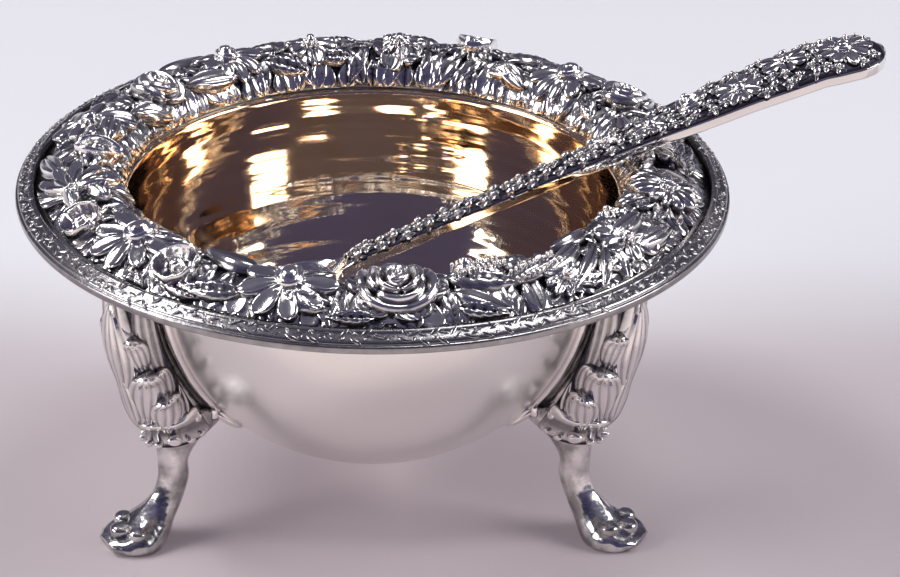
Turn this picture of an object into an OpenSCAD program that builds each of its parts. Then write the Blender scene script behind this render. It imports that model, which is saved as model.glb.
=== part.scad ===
// Round footed salt cellar with a flower border and a salt spoon laid across it.
// The origin is on the bowl's axis, on the plane that the feet stand on. -Y is the front.

/* [Bowl] */
// Diameter over the edge band
rim_d = 80; // [72:1:92]
// Inside diameter of the mouth
mouth_d = 56; // [52:1:60]
// Height of the bowl's underside above the table
bowl_lift = 5.5; // [4:0.1:8]
// Depth of the bowl outside, from its neck to its underside
bowl_deep = 30.5; // [26:0.5:36]
// Thickness of the silver sheet
sheet_t = 0.9; // [0.6:0.1:1.2]
// How far the flange climbs from the neck to its outer edge
flange_climb = 0.9; // [0.5:0.1:2]

/* [Border] */
// Width of the flower border across the flange
border_w = 8.8; // [7:0.1:9.4]
// Height of the border's swell above the flange
swell_h = 3.4; // [2.5:0.1:4.2]
// Height that the flowers stand above the swell
flower_h = 1.7; // [0.6:0.05:2.2]
// Thickness of the border at its two edges
border_edge_t = 0.45; // [0.3:0.05:0.8]
// Width of the plain channel between the border and the edge band
channel_w = 1; // [0.6:0.1:2]

/* [Edge band] */
// Width of the edge band
band_w = 2.1; // [1.6:0.1:2.4]
// Height of the edge band above the flange
band_rise = 1.05; // [0.6:0.05:1.6]
// Depth that the edge band hangs below the flange's edge
band_drop = 0.2; // [0.1:0.05:0.5]

/* [Legs] */
// Number of degrees from the front to each front leg
leg_spread = 61.5; // [56:0.5:64]
// How far the tip of a foot reaches out past the bowl's neck
foot_reach = 5.95; // [4:0.05:8]
// Diameter of the stem at its thinnest
stem_d = 3.7; // [3:0.1:4.2]
// Width of the foot pad
pad_w = 7.4; // [6.2:0.2:10]
// Thickness of the spray of leaves over the knee
spray_t = 2.2; // [2:0.1:3.2]
// Number of overlapping rows of leaves in the spray
spray_rows = 3; // [2:1:4]
// Number of ribs across each row of leaves
spray_ribs = 5; // [3:1:7]

/* [Spoon] */
// Length of the spoon in plan
spoon_len = 82; // [76:0.5:88]
// Width of the handle at its widest
handle_w = 9; // [7:0.2:11]
// Thickness of the handle
handle_t = 1.2; // [0.8:0.1:1.8]
// Width of the spoon's bowl
scoop_w = 14; // [11:0.5:16]
// Depth of the spoon's bowl
scoop_deep = 3.4; // [2.4:0.1:4.5]
// Thickness of the wall of the spoon's bowl
scoop_t = 0.8; // [0.6:0.1:1.2]
// Height that the handle's flowers stand up
handle_flower_h = 0.55; // [0.2:0.05:0.8]
// Angle between the spoon and the cellar's left-to-right line
spoon_turn = 13.5; // [10:0.5:20]
// Distance that the spoon passes in front of the bowl's axis
spoon_aside = 6.3; // [4:0.1:8]

/* [Hidden] */

silver = "silver";
oxidised_silver = "gray";
gilt = "goldenrod";

// Clearance where a soldered piece lies against a curved one
seat_gap = 0.08;
// Clearance under the spoon where it rests
rest_gap = 0.15;

rim_r = rim_d / 2;
mouth_r = mouth_d / 2;
turn_facets = 160;

// The bowl: a quarter ellipse outside and in, turned out into a sloping flange
neck_r = mouth_r + sheet_t / 2;
neck_z = bowl_lift + bowl_deep;
cup_r = mouth_r - sheet_t / 2;
cup_deep = bowl_deep - sheet_t;
flange_r = rim_r - band_w / 2;
flange_slope = flange_climb / (rim_r - band_w - mouth_r);
wall_steps = 28;
function bowl_outside_r(z) = neck_r * sqrt(max(0, 1 - pow((neck_z - min(z, neck_z)) / bowl_deep, 2)));
function flange_top(r) = neck_z + sheet_t + (r - mouth_r) * flange_slope;
function flange_under(r) = neck_z + max(0, r - neck_r) * flange_slope;

// The border: its swell across the flange, from the mouth outwards
border_out_r = rim_r - band_w - channel_w;
border_in_r = border_out_r - border_w;
border_mid_r = border_in_r + border_w * 0.45;
swell_shares = [[0, 0], [0.05, 0.34], [0.14, 0.72], [0.25, 0.94], [0.38, 1], [0.55, 0.84],
    [0.72, 0.62], [0.88, 0.36], [1, 0]];
border_turn_steps = 300;
border_cross_steps = 15;

// Flowers: place round the border in degrees from the front, place across it, radius,
// number of petals, radius of the middle
flower_shares = [
    [3, 0.4, 0.56, 5, 0.34], [21, 0.6, 0.31, 5, 0.42], [44, 0.69, 0.34, 5, 0.34], [58, 0.28, 0.27, 5, 0.3],
    [72, 0.58, 0.57, 10, 0.4], [92, 0.35, 0.3, 5, 0.34], [120, 0.67, 0.35, 5, 0.42],
    [134, 0.49, 0.5, 10, 0.34], [158, 0.62, 0.4, 8, 0.5], [173, 0.4, 0.37, 5, 0.3],
    [192, 0.47, 0.36, 5, 0.34], [211, 0.49, 0.43, 10, 0.34], [232, 0.37, 0.34, 5, 0.42],
    [252, 0.58, 0.5, 5, 0.34], [268, 0.33, 0.26, 8, 0.5], [283, 0.65, 0.5, 6, 0.3],
    [296, 0.77, 0.28, 8, 0.5], [308, 0.47, 0.57, 10, 0.34], [322, 0.67, 0.31, 8, 0.5],
    [343, 0.48, 0.53, 5, 0.3]];
// Leaves: place round the border and across it of the leaf's middle, length, width, turn of its tip
leaf_shares = [
    [17, 0.9, 0.52, 0.13, 20], [18, 0.13, 0.55, 0.13, 350], [27, 0.2, 0.75, 0.15, 170],
    [31, 0.87, 0.61, 0.15, 10], [32, 0.47, 0.8, 0.17, 176], [33, 0.35, 0.75, 0.17, 4],
    [33, 0.83, 0.64, 0.15, 186], [46, 0.17, 0.8, 0.14, 176], [46, 0.84, 0.57, 0.13, 190],
    [54, 0.22, 0.82, 0.15, 172], [56, 0.5, 0.8, 0.16, 178], [57, 0.8, 0.7, 0.16, 186],
    [88, 0.26, 0.55, 0.13, 12], [90, 0.75, 0.57, 0.14, 352], [94, 0.79, 0.61, 0.14, 190],
    [97, 0.58, 0.68, 0.17, 180], [106, 0.21, 0.7, 0.16, 195], [106, 0.67, 0.7, 0.17, 195],
    [120, 0.18, 0.61, 0.15, 200], [122, 0.89, 0.52, 0.13, 170], [145, 0.19, 0.68, 0.16, 200],
    [145, 0.7, 0.73, 0.18, 192], [145, 0.88, 0.57, 0.15, 20], [147, 0.2, 0.61, 0.14, 350],
    [170, 0.71, 0.59, 0.14, 330], [172, 0.28, 0.59, 0.15, 10], [187, 0.94, 0.66, 0.16, 30],
    [188, 0.22, 0.52, 0.13, 0], [199, 0.17, 0.66, 0.16, 200], [199, 0.84, 0.73, 0.16, 160],
    [219, 0.18, 0.84, 0.16, 186], [219, 0.81, 0.8, 0.16, 172], [230, 0.6, 0.75, 0.16, 190],
    [238, 0.86, 0.75, 0.17, 166], [241, 0.14, 0.7, 0.16, 205], [256, 0.3, 0.68, 0.16, 172],
    [258, 0.75, 0.59, 0.15, 200], [269, 0.37, 0.73, 0.16, 190], [270, 0.82, 0.75, 0.18, 160],
    [285, 0.4, 0.64, 0.16, 170], [296, 0.2, 0.61, 0.14, 200], [313, 0.25, 0.55, 0.13, 170],
    [316, 0.94, 0.48, 0.13, 60], [324, 0.89, 0.61, 0.13, 188], [328, 0.15, 0.73, 0.14, 176],
    [329, 0.29, 0.84, 0.17, 186], [330, 0.8, 0.73, 0.16, 168], [347, 0.1, 0.52, 0.13, 200],
    [347, 0.75, 0.68, 0.16, 192], [355, 0.9, 0.5, 0.12, 178]];
leaf_h_share = 0.75;

function turned(v, a) = [v.x * cos(a) + v.y * sin(a), v.y * cos(a) - v.x * sin(a)];
function nearest_turn(a) = ((a + 540) % 360) - 180;

// Height of one flower at a place measured from its middle
function flower_at(place, flower) =
    let (size = flower[2] * border_w,
        far = norm(place) / size,
        petal = cos(flower[3] * (atan2(place.y, place.x) - 90)),
        edge = far / (0.86 + 0.14 * petal),
        cup = edge < 1 ? (1 - pow(edge, 6)) * (0.7 + 0.3 * petal) * (0.5 + 0.5 * far) : 0,
        middle = far < flower[4] ? 0.62 + 0.38 * sqrt(1 - pow(far / flower[4], 2)) : 0)
    flower_h * max(cup, middle);

// Height of one leaf at a place measured from its middle
function leaf_at(place, leaf) =
    let (local = turned(place / border_w, leaf[4]),
        way = local.x / leaf[2] + 0.5,
        half = way > 0 && way < 1 ? leaf[3] * pow(sin(180 * pow(way, 0.8)), 0.8) : 0,
        aside = half > 0 ? abs(local.y) / half : 1)
    aside < 1 ? flower_h * leaf_h_share * (1 - aside * aside) : 0;

function places_from(r, a, item) =
    [nearest_turn(a - item[0]) * PI / 180 * border_mid_r, r - border_in_r - item[1] * border_w];
function ornament_at(r, a) = max(concat([0],
    [for (f = flower_shares)
        if (abs(nearest_turn(a - f[0])) * PI / 180 * border_mid_r < border_w) flower_at(places_from(r, a, f), f)],
    [for (f = leaf_shares)
        if (abs(nearest_turn(a - f[0])) * PI / 180 * border_mid_r < border_w) leaf_at(places_from(r, a, f), f)]));
// The ornament dies away at the border's two edges
function edge_fade(share) = min(1, share * 6, (1 - share) * 9);
function border_top(r, a) =
    let (share = (r - border_in_r) / border_w)
    flange_top(r) + border_edge_t + swell_h * lookup(share, swell_shares)
        + edge_fade(share) * ornament_at(r, a);

// The leg: stations down the leg, each a section across it from its back to its front.
// Heights are shares of the neck's height, and radii are counted from the neck outwards.
// Knee stations lie against the bowl: back height, front height, front radius and half width in stem diameters
knee_shares = [
    [1, 1, 0.91, 0.74],
    [0.9, 0.885, 0.91, 0.7],
    [0.76, 0.735, 0.725, 0.68],
    [0.62, 0.59, 0.35, 0.62],
    [0.5, 0.465, 0.055, 0.56],
    [0.385, 0.37, -0.11, 0.5]];
// Stem stations: back radius and height, front radius and height, half width; radii and width in stem diameters
stem_shares = [
    [-1.6, 0.322, -0.224, 0.31, 0.48],
    [-1.2, 0.262, -0.28, 0.262, 0.46],
    [-1.2, 0.2, -0.28, 0.21, 0.46],
    [-0.98, 0.13, -0.12, 0.158, 0.48]];
// Foot stations: back radius and height, front radius and height, half width; radii as shares of
// the foot's reach and the width in pad widths
pad_shares = [
    [-0.405, 0.062, 0.133, 0.122, 0.28],
    [-0.156, -0.012, 0.381, 0.094, 0.42],
    [0.104, -0.03, 0.595, 0.072, 0.5],
    [0.363, -0.028, 0.769, 0.058, 0.48],
    [0.653, -0.016, 0.896, 0.046, 0.42],
    [0.942, 0.004, 1, 0.034, 0.26]];
leg_steps = 3;
leg_sides = 14;

function seat_r(z) = bowl_outside_r(z) + seat_gap;
function knee_station(k) =
    let (front_r = neck_r + k[2] * stem_d,
        back_z = k[0] == 1 ? flange_under(seat_r(neck_z)) - seat_gap : k[0] * neck_z,
        front_z = k[1] == 1 ? flange_under(front_r) - seat_gap : k[1] * neck_z)
    [seat_r(back_z), back_z, front_r, front_z, k[3] * stem_d];
function low_station(k, unit, width) =
    [neck_r + k[0] * unit, k[1] * neck_z, neck_r + k[2] * unit, k[3] * neck_z, k[4] * width];
leg_stations = concat([for (k = knee_shares) knee_station(k)],
    [for (k = stem_shares) low_station(k, stem_d, stem_d)],
    [for (k = pad_shares) low_station(k, foot_reach, pad_w)]);

// A smooth value through a list of stations, at a place counted in stations
function smooth_at(list, place) =
    let (last = len(list) - 1,
        i = min(floor(place), last - 1),
        t = place - i,
        p0 = list[max(i - 1, 0)], p1 = list[i], p2 = list[i + 1], p3 = list[min(i + 2, last)])
    (2 * p1 + (p2 - p0) * t + (2 * p0 - 5 * p1 + 4 * p2 - p3) * t * t
        + (3 * p1 - p0 - 3 * p2 + p3) * t * t * t) / 2;

// The leg's section at a place counted in stations, with its back kept off the bowl
function leg_section(place) =
    let (s = smooth_at(leg_stations, place))
    [max(s[0], seat_r(s[1])), s[1], s[2], s[3], s[4]];

// One point of a leg's section, out from its middle by the section's own half sizes plus an excess
function section_point(s, a, excess, wide_excess) =
    let (middle = [s[0] + s[2], s[1] + s[3]] / 2,
        arm = [s[2] - s[0], s[3] - s[1]] / 2,
        reach = norm(arm) + excess,
        out = middle + arm / norm(arm) * reach * cos(a))
    [out.x, (s[4] + wide_excess) * sin(a), max(0, out.y)];

// The spray over the knee: thickness along the leg as shares of its full thickness
spray_shares = [[0, 0.62], [0.6, 0.86], [1.2, 1], [1.9, 0.98], [2.6, 1.06], [3.1, 0.92], [3.6, 0.84],
    [4.2, 0.98], [4.45, 1.02], [4.6, 0.62], [5.2, 0.36], [5.7, 0.16]];
spray_end = 5.7;
spray_lap = 112;
spray_long_steps = 26;
spray_round_steps = 20;
spray_back_steps = 10;
rib_depth_share = 0.13;
row_depth_share = 0.3;
scallop_share = 0.22;

// How far a place is down its own row of leaves, whose lower edges are scalloped
function row_way(place, a) =
    (place / spray_end * spray_rows + scallop_share * abs(sin(a * spray_ribs / 2)) + 1 - scallop_share) % 1;
function spray_thick(place, a) =
    let (way = row_way(place, a))
    spray_t * lookup(place, spray_shares)
        * (1 - row_depth_share * (1 - way) + rib_depth_share * cos(a * spray_ribs * 360 / spray_lap / 2) * way);

// The spoon: heights and half widths of its sections along its length, from the scoop's end to the tip
crest_r = border_in_r + border_w * 0.38;
crest_z = flange_top(crest_r) + border_edge_t + swell_h + flower_h;
handle_rest_x = sqrt(pow(crest_r, 2) - pow(spoon_aside, 2));
handle_slope = 0.36;
// Place along the spoon as a share of its length, height over the line through its resting point
bend_shares = [[0, 0.018], [0.06, 0.006], [0.13, 0.001], [0.22, 0.006], [0.32, 0.003], [0.45, 0],
    [0.66, 0], [0.8, -0.004], [0.9, -0.012], [1, -0.036]];
handle_width_shares = [[0, 0.2], [0.24, 0.3], [0.34, 0.32], [0.45, 0.36], [0.56, 0.48], [0.66, 0.66], [0.76, 0.84],
    [0.86, 0.96], [0.92, 1], [0.96, 0.93], [0.985, 0.68], [1, 0.24]];
scoop_share = 0.235;
spoon_steps = 62;
spoon_top_steps = 8;

// The scoop's end rests against the inside of the bowl: where the line under the spoon meets the wall
scoop_clear = 0.35;
end_z = crest_z + rest_gap + spoon_len * lookup(0, bend_shares) - handle_rest_x * handle_slope;
wall_a = 1 / pow(cup_r - scoop_clear, 2);
wall_b = 1 / pow(cup_deep - scoop_clear, 2);
line_square = wall_a + pow(handle_slope, 2) * wall_b;
line_single = (neck_z - end_z) * handle_slope * wall_b;
line_rest = pow(spoon_aside, 2) * wall_a + pow(neck_z - end_z, 2) * wall_b - 1;
scoop_end = (line_single - sqrt(pow(line_single, 2) - line_square * line_rest)) / line_square;

function scoop_way(share) = share / scoop_share;
function in_scoop(share) = share < scoop_share;
function scoop_half(share) = scoop_w / 2 * pow(max(0, sin(180 * pow(scoop_way(share), 0.86))), 0.62);
function handle_half(share) = handle_w / 2 * lookup(share, handle_width_shares);
neck_half = handle_half(scoop_share);
function spoon_half(share) = in_scoop(share)
    ? max(scoop_half(share), scoop_way(share) > 0.5 ? neck_half : neck_half / 2)
    : handle_half(share);
function spoon_x(share) = scoop_end + spoon_len * share;
function spoon_under(share) = crest_z + rest_gap
    + (spoon_x(share) - handle_rest_x) * handle_slope + spoon_len * lookup(share, bend_shares);
function scoop_sink(share, wide) = in_scoop(share)
    ? scoop_deep * pow(max(0, sin(180 * scoop_way(share))), 0.8) * (1 - wide * wide)
    : 0;
function handle_flowers(share, wide) = share < scoop_share * 1.1 ? 0
    : handle_flower_h * (1 - pow(wide, 4)) * (0.55 + 0.45 * cos(share * 360 * 13 + wide * 150) * cos(wide * 250));
function spoon_thick(share) = in_scoop(share) ? scoop_t : handle_t;
function spoon_ring(share) =
    let (half = spoon_half(share), under = spoon_under(share))
    concat(
        [for (i = [0 : spoon_top_steps])
            let (wide = 2 * i / spoon_top_steps - 1)
            [spoon_x(share), wide * half,
                under + spoon_thick(share) - scoop_sink(share, wide) + handle_flowers(share, wide)]],
        [for (i = [spoon_top_steps : -1 : 0])
            let (wide = 2 * i / spoon_top_steps - 1)
            [spoon_x(share), wide * (half - spoon_thick(share) / 4), under - scoop_sink(share, wide)]]);

// Closed solid through a list of rings of points, with a fan over each end
module loft(rings) {
    sides = len(rings[0]);
    count = len(rings);
    points = concat([for (ring = rings) each ring], [mean(rings[0])], [mean(rings[count - 1])]);
    walls = [for (i = [0 : count - 2], j = [0 : sides - 1])
        let (a = i * sides + j, b = i * sides + (j + 1) % sides)
        each [[a, b, a + sides], [b, b + sides, a + sides]]];
    first = [for (j = [0 : sides - 1]) [count * sides, (j + 1) % sides, j]];
    last = [for (j = [0 : sides - 1])
        [count * sides + 1, (count - 1) * sides + j, (count - 1) * sides + (j + 1) % sides]];
    polyhedron(points = points, faces = concat(walls, first, last));
}
function mean(points) = [for (k = [0 : 2]) sum([for (p = points) p[k]]) / len(points)];
function sum(values) = values * [for (v = values) 1];

// Closed ring-shaped solid through sections that go once round the axis
module ring_loft(sections) {
    sides = len(sections[0]);
    count = len(sections);
    polyhedron(points = [for (section = sections) each section],
        faces = [for (i = [0 : count - 1], j = [0 : sides - 1])
            let (n = (i + 1) % count, a = i * sides + j, b = i * sides + (j + 1) % sides,
                c = n * sides + j, d = n * sides + (j + 1) % sides)
            each [[a, c, b], [b, c, d]]]);
}

// Turns a piece that is modelled along +X to its place round the cellar, counted from the front
module at_leg(turn) {
    rotate([0, 0, turn - 90])
        children();
}

module bowl() {
    outside = [for (i = [0 : wall_steps])
        let (a = 90 * i / wall_steps)
        [neck_r * sin(a), neck_z - bowl_deep * cos(a)]];
    inside = [for (i = [wall_steps : -1 : 0])
        let (a = 90 * i / wall_steps)
        [cup_r * sin(a), neck_z - cup_deep * cos(a)]];
    color(gilt)
        rotate_extrude($fn = turn_facets)
            polygon(concat(outside,
                [[flange_r, flange_under(flange_r)],
                [flange_r, flange_top(flange_r)],
                [mouth_r, flange_top(mouth_r)],
                [cup_r, flange_top(mouth_r) - sheet_t / 2]],
                inside));
}

module flower_border() {
    turns = [for (i = [0 : border_turn_steps - 1]) 360 * i / border_turn_steps];
    radii = [for (i = [0 : border_cross_steps]) border_in_r + border_w * i / border_cross_steps];
    color(oxidised_silver)
        ring_loft([for (a = turns) concat(
            [for (r = radii) [r * sin(a), -r * cos(a), border_top(r, a)]],
            [for (r = [border_out_r, border_in_r])
                [r * sin(a), -r * cos(a), flange_top(r) + seat_gap / 2]])]);
}

module edge_band() {
    band_in_r = rim_r - band_w;
    top_z = flange_top(band_in_r) + band_rise;
    low_z = flange_under(flange_r) - band_drop;
    lip_h = sheet_t * 0.6;
    bead_r = band_w / 5;
    color(silver)
        rotate_extrude($fn = turn_facets)
            polygon([
                [band_in_r, flange_top(band_in_r)],
                [band_in_r, top_z - bead_r],
                [band_in_r + bead_r / 2, top_z],
                [band_in_r + bead_r * 1.6, top_z],
                [rim_r - bead_r * 1.4, top_z - band_rise * 0.42],
                [rim_r - bead_r / 2, top_z - band_rise * 0.8],
                [rim_r - bead_r / 4, low_z + lip_h * 1.6],
                [rim_r, low_z + lip_h],
                [rim_r - bead_r / 2, low_z],
                [flange_r - bead_r, low_z],
                [flange_r - bead_r, flange_under(flange_r - bead_r)],
                [flange_r, flange_under(flange_r)],
                [flange_r, flange_top(flange_r)]]);
}

module leg() {
    count = (len(leg_stations) - 1) * leg_steps;
    color(silver)
        loft([for (i = [0 : count])
            let (s = leg_section(i / leg_steps))
            [for (j = [0 : leg_sides - 1]) section_point(s, 360 * j / leg_sides, 0, 0)]]);
}

module knee_spray() {
    color(oxidised_silver)
        loft([for (i = [0 : spray_long_steps])
            let (place = spray_end * i / spray_long_steps,
                s = leg_section(place))
            concat(
                [for (j = [0 : spray_round_steps])
                    let (a = spray_lap * (2 * j / spray_round_steps - 1),
                        thick = spray_thick(place, a))
                    section_point(s, a, seat_gap + thick, seat_gap + thick)],
                [for (j = [spray_back_steps : -1 : 0])
                    let (a = spray_lap * (2 * j / spray_back_steps - 1))
                    section_point(s, a, seat_gap, seat_gap)])]);
}

module salt_spoon() {
    color(silver)
        rotate([0, 0, spoon_turn])
            translate([0, -spoon_aside, 0])
                loft([for (i = [0 : spoon_steps]) spoon_ring(i / spoon_steps)]);
}

bowl();
flower_border();
edge_band();
at_leg(-leg_spread) leg();  // leg_front_left
at_leg(leg_spread) leg();  // leg_front_right
at_leg(180) leg();  // leg_back
at_leg(-leg_spread) knee_spray();  // knee_spray_front_left
at_leg(leg_spread) knee_spray();  // knee_spray_front_right
at_leg(180) knee_spray();  // knee_spray_back
salt_spoon();
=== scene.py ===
"""Round footed salt cellar in silver with a gold-washed bowl, and its salt spoon."""

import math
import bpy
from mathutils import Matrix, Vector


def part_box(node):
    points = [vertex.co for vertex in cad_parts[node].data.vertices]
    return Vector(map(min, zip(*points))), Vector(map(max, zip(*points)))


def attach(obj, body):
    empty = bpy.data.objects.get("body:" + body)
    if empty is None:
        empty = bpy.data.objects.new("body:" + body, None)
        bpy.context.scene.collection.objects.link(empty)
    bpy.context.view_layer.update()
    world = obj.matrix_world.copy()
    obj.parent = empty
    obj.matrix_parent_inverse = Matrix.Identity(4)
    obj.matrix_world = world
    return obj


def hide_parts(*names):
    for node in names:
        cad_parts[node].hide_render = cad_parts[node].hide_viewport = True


bl_info = {
    "name": "Silver salt cellar",
    "version": (1, 0, 0),
    "blender": (4, 5, 0),
    "location": "3D View > Sidebar > Salt cellar",
    "description": "Builds a footed salt cellar with a flower border, and the salt spoon laid across it",
    "category": "Add Mesh",
}

import bpy
import numpy as np
from bpy.props import FloatProperty, FloatVectorProperty, IntProperty, PointerProperty

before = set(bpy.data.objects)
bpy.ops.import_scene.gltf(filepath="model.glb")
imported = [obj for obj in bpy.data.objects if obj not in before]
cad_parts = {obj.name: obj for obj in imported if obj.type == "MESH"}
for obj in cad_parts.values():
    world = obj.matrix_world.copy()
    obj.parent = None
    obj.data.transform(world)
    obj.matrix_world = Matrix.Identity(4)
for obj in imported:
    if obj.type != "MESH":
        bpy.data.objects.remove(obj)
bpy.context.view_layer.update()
MM = 0.001
BODY_CELLAR, BODY_SPOON = "cellar", "spoon"
BOWL_LO, BOWL_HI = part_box("bowl")
BORDER_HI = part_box("flower_border")[1]
BAND_LO, BAND_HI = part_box("edge_band")
BAND_W = 2.1 * MM


def length(name, description, default):
    """A setting in metres. The next three are for an angle in degrees, a count and a colour."""
    return FloatProperty(name=name, description=description, default=default, unit="LENGTH", precision=5)


def angle(name, description, degrees):
    return FloatProperty(name=name, description=description, default=math.radians(degrees), unit="ROTATION")


def number(name, description, default):
    return IntProperty(name=name, description=description, default=default)


def colour(name, description, default):
    return FloatVectorProperty(name=name, description=description, default=default, size=3,
                               min=0, max=1, subtype="COLOR")


class BowlSizes(bpy.types.PropertyGroup):
    sheet: length("Sheet", "Thickness of the silver sheet", 0.9 * MM)
    mouth_r: length("Mouth radius", "Inside radius of the mouth", 28 * MM)
    neck_z: length("Neck height", "Height at which the bowl turns out into its flange", 36 * MM)
    flange_climb: FloatProperty(name="Flange climb", description="Rise of the flange for each unit outwards",
                                default=0.0909)
    turns: number("Facets round", "Facets round the bowl", 288)


class BorderSizes(bpy.types.PropertyGroup):
    width: length("Width", "Width of the border across the flange", 8.8 * MM)
    swell: length("Swell", "Height of the border's ground above the flange", 2.7 * MM)
    edge: length("Edge", "Thickness of the border at its two edges", 0.4 * MM)
    relief: length("Relief", "Height of the tallest flowers above the ground", 2.2 * MM)
    inner: number("Inner leaves", "Leaves in each row of the inner wall", 84)
    outer: number("Outer leaves", "Leaves in each row of the outer slope", 92)
    filler: number("Small leaves", "Small leaves that fill the ground", 360)
    seed: number("Seed", "Seed of the small leaves' places", 7)


class LegSizes(bpy.types.PropertyGroup):
    spread: angle("Spread", "Turn from the front to each front leg", 61.5)
    foot_reach: length("Foot reach", "How far a foot's tip reaches past the bowl's neck", 5.95 * MM)
    stem_d: length("Stem", "Diameter of the stem", 3.7 * MM)
    pad_w: length("Pad", "Width of the foot pad", 7.4 * MM)
    dish: length("Dish", "Depth of the hollow in the top of the pad", 0.5 * MM)
    mantle: length("Mantle", "Thickness of the ground under the knee's leaves", 0.75 * MM)
    relief: length("Relief", "Height of the knee's leaves", 1.25 * MM)
    swell: length("Swell", "How far the knee's front swells out under its leaves", 0.95 * MM)


class SpoonSizes(bpy.types.PropertyGroup):
    reach: length("Length", "Length of the spoon in plan", 82 * MM)
    turn: angle("Turn", "Turn of the spoon from the left-to-right line", 13.5)
    aside: length("Aside", "Distance that the spoon passes in front of the axis", 6.3 * MM)
    slope: FloatProperty(name="Slope", description="Rise of the handle for each unit along it", default=0.36)
    handle_w: length("Handle width", "Width of the handle at its widest", 9 * MM)
    handle_t: length("Handle thickness", "Thickness of the handle", 1.2 * MM)
    scoop_w: length("Scoop width", "Width of the spoon's bowl", 14 * MM)
    scoop_deep: length("Scoop depth", "Depth of the spoon's bowl", 3.4 * MM)
    scoop_t: length("Scoop wall", "Thickness of the wall of the spoon's bowl", 0.8 * MM)
    relief: length("Relief", "Height of the handle's flowers", 1.0 * MM)


class Finishes(bpy.types.PropertyGroup):
    silver: colour("Silver", "Polished silver", (0.93, 0.905, 0.885))
    recess: colour("Recess", "Darkened silver in the recesses", (0.05, 0.045, 0.065))
    gilt: colour("Gold wash", "Gold wash inside the bowl", (0.96, 0.79, 0.60))
    # Painted light: the paper in front is painted bright as a pool of light, and the far paper is painted
    # lighter than the near
    floor_front_painted_light: colour("Floor in front", "Paper nearer than the picture shows", (0.95, 0.85, 0.81))
    floor_near: colour("Floor near", "Paper round the feet", (0.69, 0.615, 0.635))
    floor_far: colour("Floor far", "Paper at the back", (0.88, 0.88, 0.91))
    room_front: colour("Room in front", "Dark room behind the camera", (0.065, 0.06, 0.125))
    room_back: colour("Room at the back", "Room beyond the table", (0.1, 0.095, 0.14))
    ceiling: colour("Ceiling", "Light overhead", (0.13, 0.125, 0.175))


class StudioSizes(bpy.types.PropertyGroup):
    elevation: angle("Elevation", "Camera's height angle", 27.14)
    azimuth: angle("Azimuth", "Camera's turn round the object", -1.5)
    distance: length("Distance", "Camera's distance from its target", 0.45)
    target_z: length("Target height", "Height of the camera's target on the axis", 20 * MM)
    lens: FloatProperty(name="Lens", description="Focal length on a 36 mm wide sensor", default=157.44)
    aim_right: length("Aim right", "How far right of the target the camera aims", 8.86 * MM)
    aim_up: length("Aim up", "How far above the target the camera aims", 4.05 * MM)
    roll: angle("Roll", "Camera's roll", 0.36)
    floor_r: length("Floor", "Radius of the floor", 2.5)


# Curves and grids

def smooth_line(points, count):
    """Points along a smooth curve through a short list of points, spread evenly over its stations."""
    return smooth_at(points, np.linspace(0, len(points) - 1, count))


def smooth_at(points, place):
    """Values of a smooth curve through a list of stations, at places counted in stations."""
    points, place = np.asarray(points, float), np.asarray(place, float)
    last = len(points) - 1
    i = np.minimum(np.floor(place).astype(int), last - 1)
    t = (place - i)[..., None]
    p0, p1 = points[np.maximum(i - 1, 0)], points[i]
    p2, p3 = points[i + 1], points[np.minimum(i + 2, last)]
    return (2 * p1 + (p2 - p0) * t + (2 * p0 - 5 * p1 + 4 * p2 - p3) * t ** 2
            + (3 * p1 - p0 - 3 * p2 + p3) * t ** 3) / 2


def way_along(points):
    """Distance along a line of points, from its start."""
    return np.concatenate([[0], np.cumsum(np.linalg.norm(np.diff(points, axis=0), axis=1))])


def grid_faces(rows, cols, wrap_rows=False):
    """Four-sided faces over a grid of points numbered row by row, whose rows close on themselves."""
    i, j = np.meshgrid(np.arange(rows if wrap_rows else rows - 1), np.arange(cols), indexing="ij")
    i, j = i.ravel(), j.ravel()
    n, m = (i + 1) % rows, (j + 1) % cols
    return np.stack([i * cols + j, i * cols + m, n * cols + m, n * cols + j], 1)


def outward(points, quads):
    """A closed mesh of four-sided faces, turned so that its signed volume is positive."""
    a, b, c, d = (points[quads[:, k]] for k in range(4))
    six_volumes = np.einsum("ij,ij->i", a, np.cross(b, c)) + np.einsum("ij,ij->i", a, np.cross(c, d))
    return (points, quads[:, ::-1]) if six_volumes.sum() < 0 else (points, quads)


def loft(rings):
    """Closed solid through rings of points, shaped (count, sides, 3). A fan closes each end."""
    count, sides = rings.shape[:2]
    points = np.concatenate([rings.reshape(-1, 3), rings[:1].mean(1), rings[-1:].mean(1)])
    j = np.arange(sides)
    n, base = (j + 1) % sides, (count - 1) * sides
    first = np.stack([np.full(sides, count * sides), n, j, j], 1)
    last = np.stack([np.full(sides, count * sides + 1), base + j, base + n, base + n], 1)
    return outward(points, np.concatenate([grid_faces(count, sides), first, last]))


def ring_loft(sections):
    """Closed ring through sections that go once round, shaped (count, sides, 3)."""
    count, sides = sections.shape[:2]
    return outward(sections.reshape(-1, 3), grid_faces(count, sides, wrap_rows=True))


def turned(line, turns):
    """Ring-shaped sections from a closed outline of radii and heights."""
    a = np.linspace(0, 2 * np.pi, turns, endpoint=False)[:, None]
    r, z = np.asarray(line).T
    return np.stack([r * np.sin(a), -r * np.cos(a), np.broadcast_to(z, (turns, len(z)))], 2)


def merged(parts):
    """One set of points and faces from several, each with a height over its ground for the finish."""
    points, quads, heights, start = [], [], [], 0
    for part in parts:
        points.append(part[0])
        quads.append(part[1] + start)
        heights.append(part[2] if len(part) > 2 else np.ones(len(part[0])))
        start += len(part[0])
    return np.concatenate(points), np.concatenate(quads), np.concatenate(heights)


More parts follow.
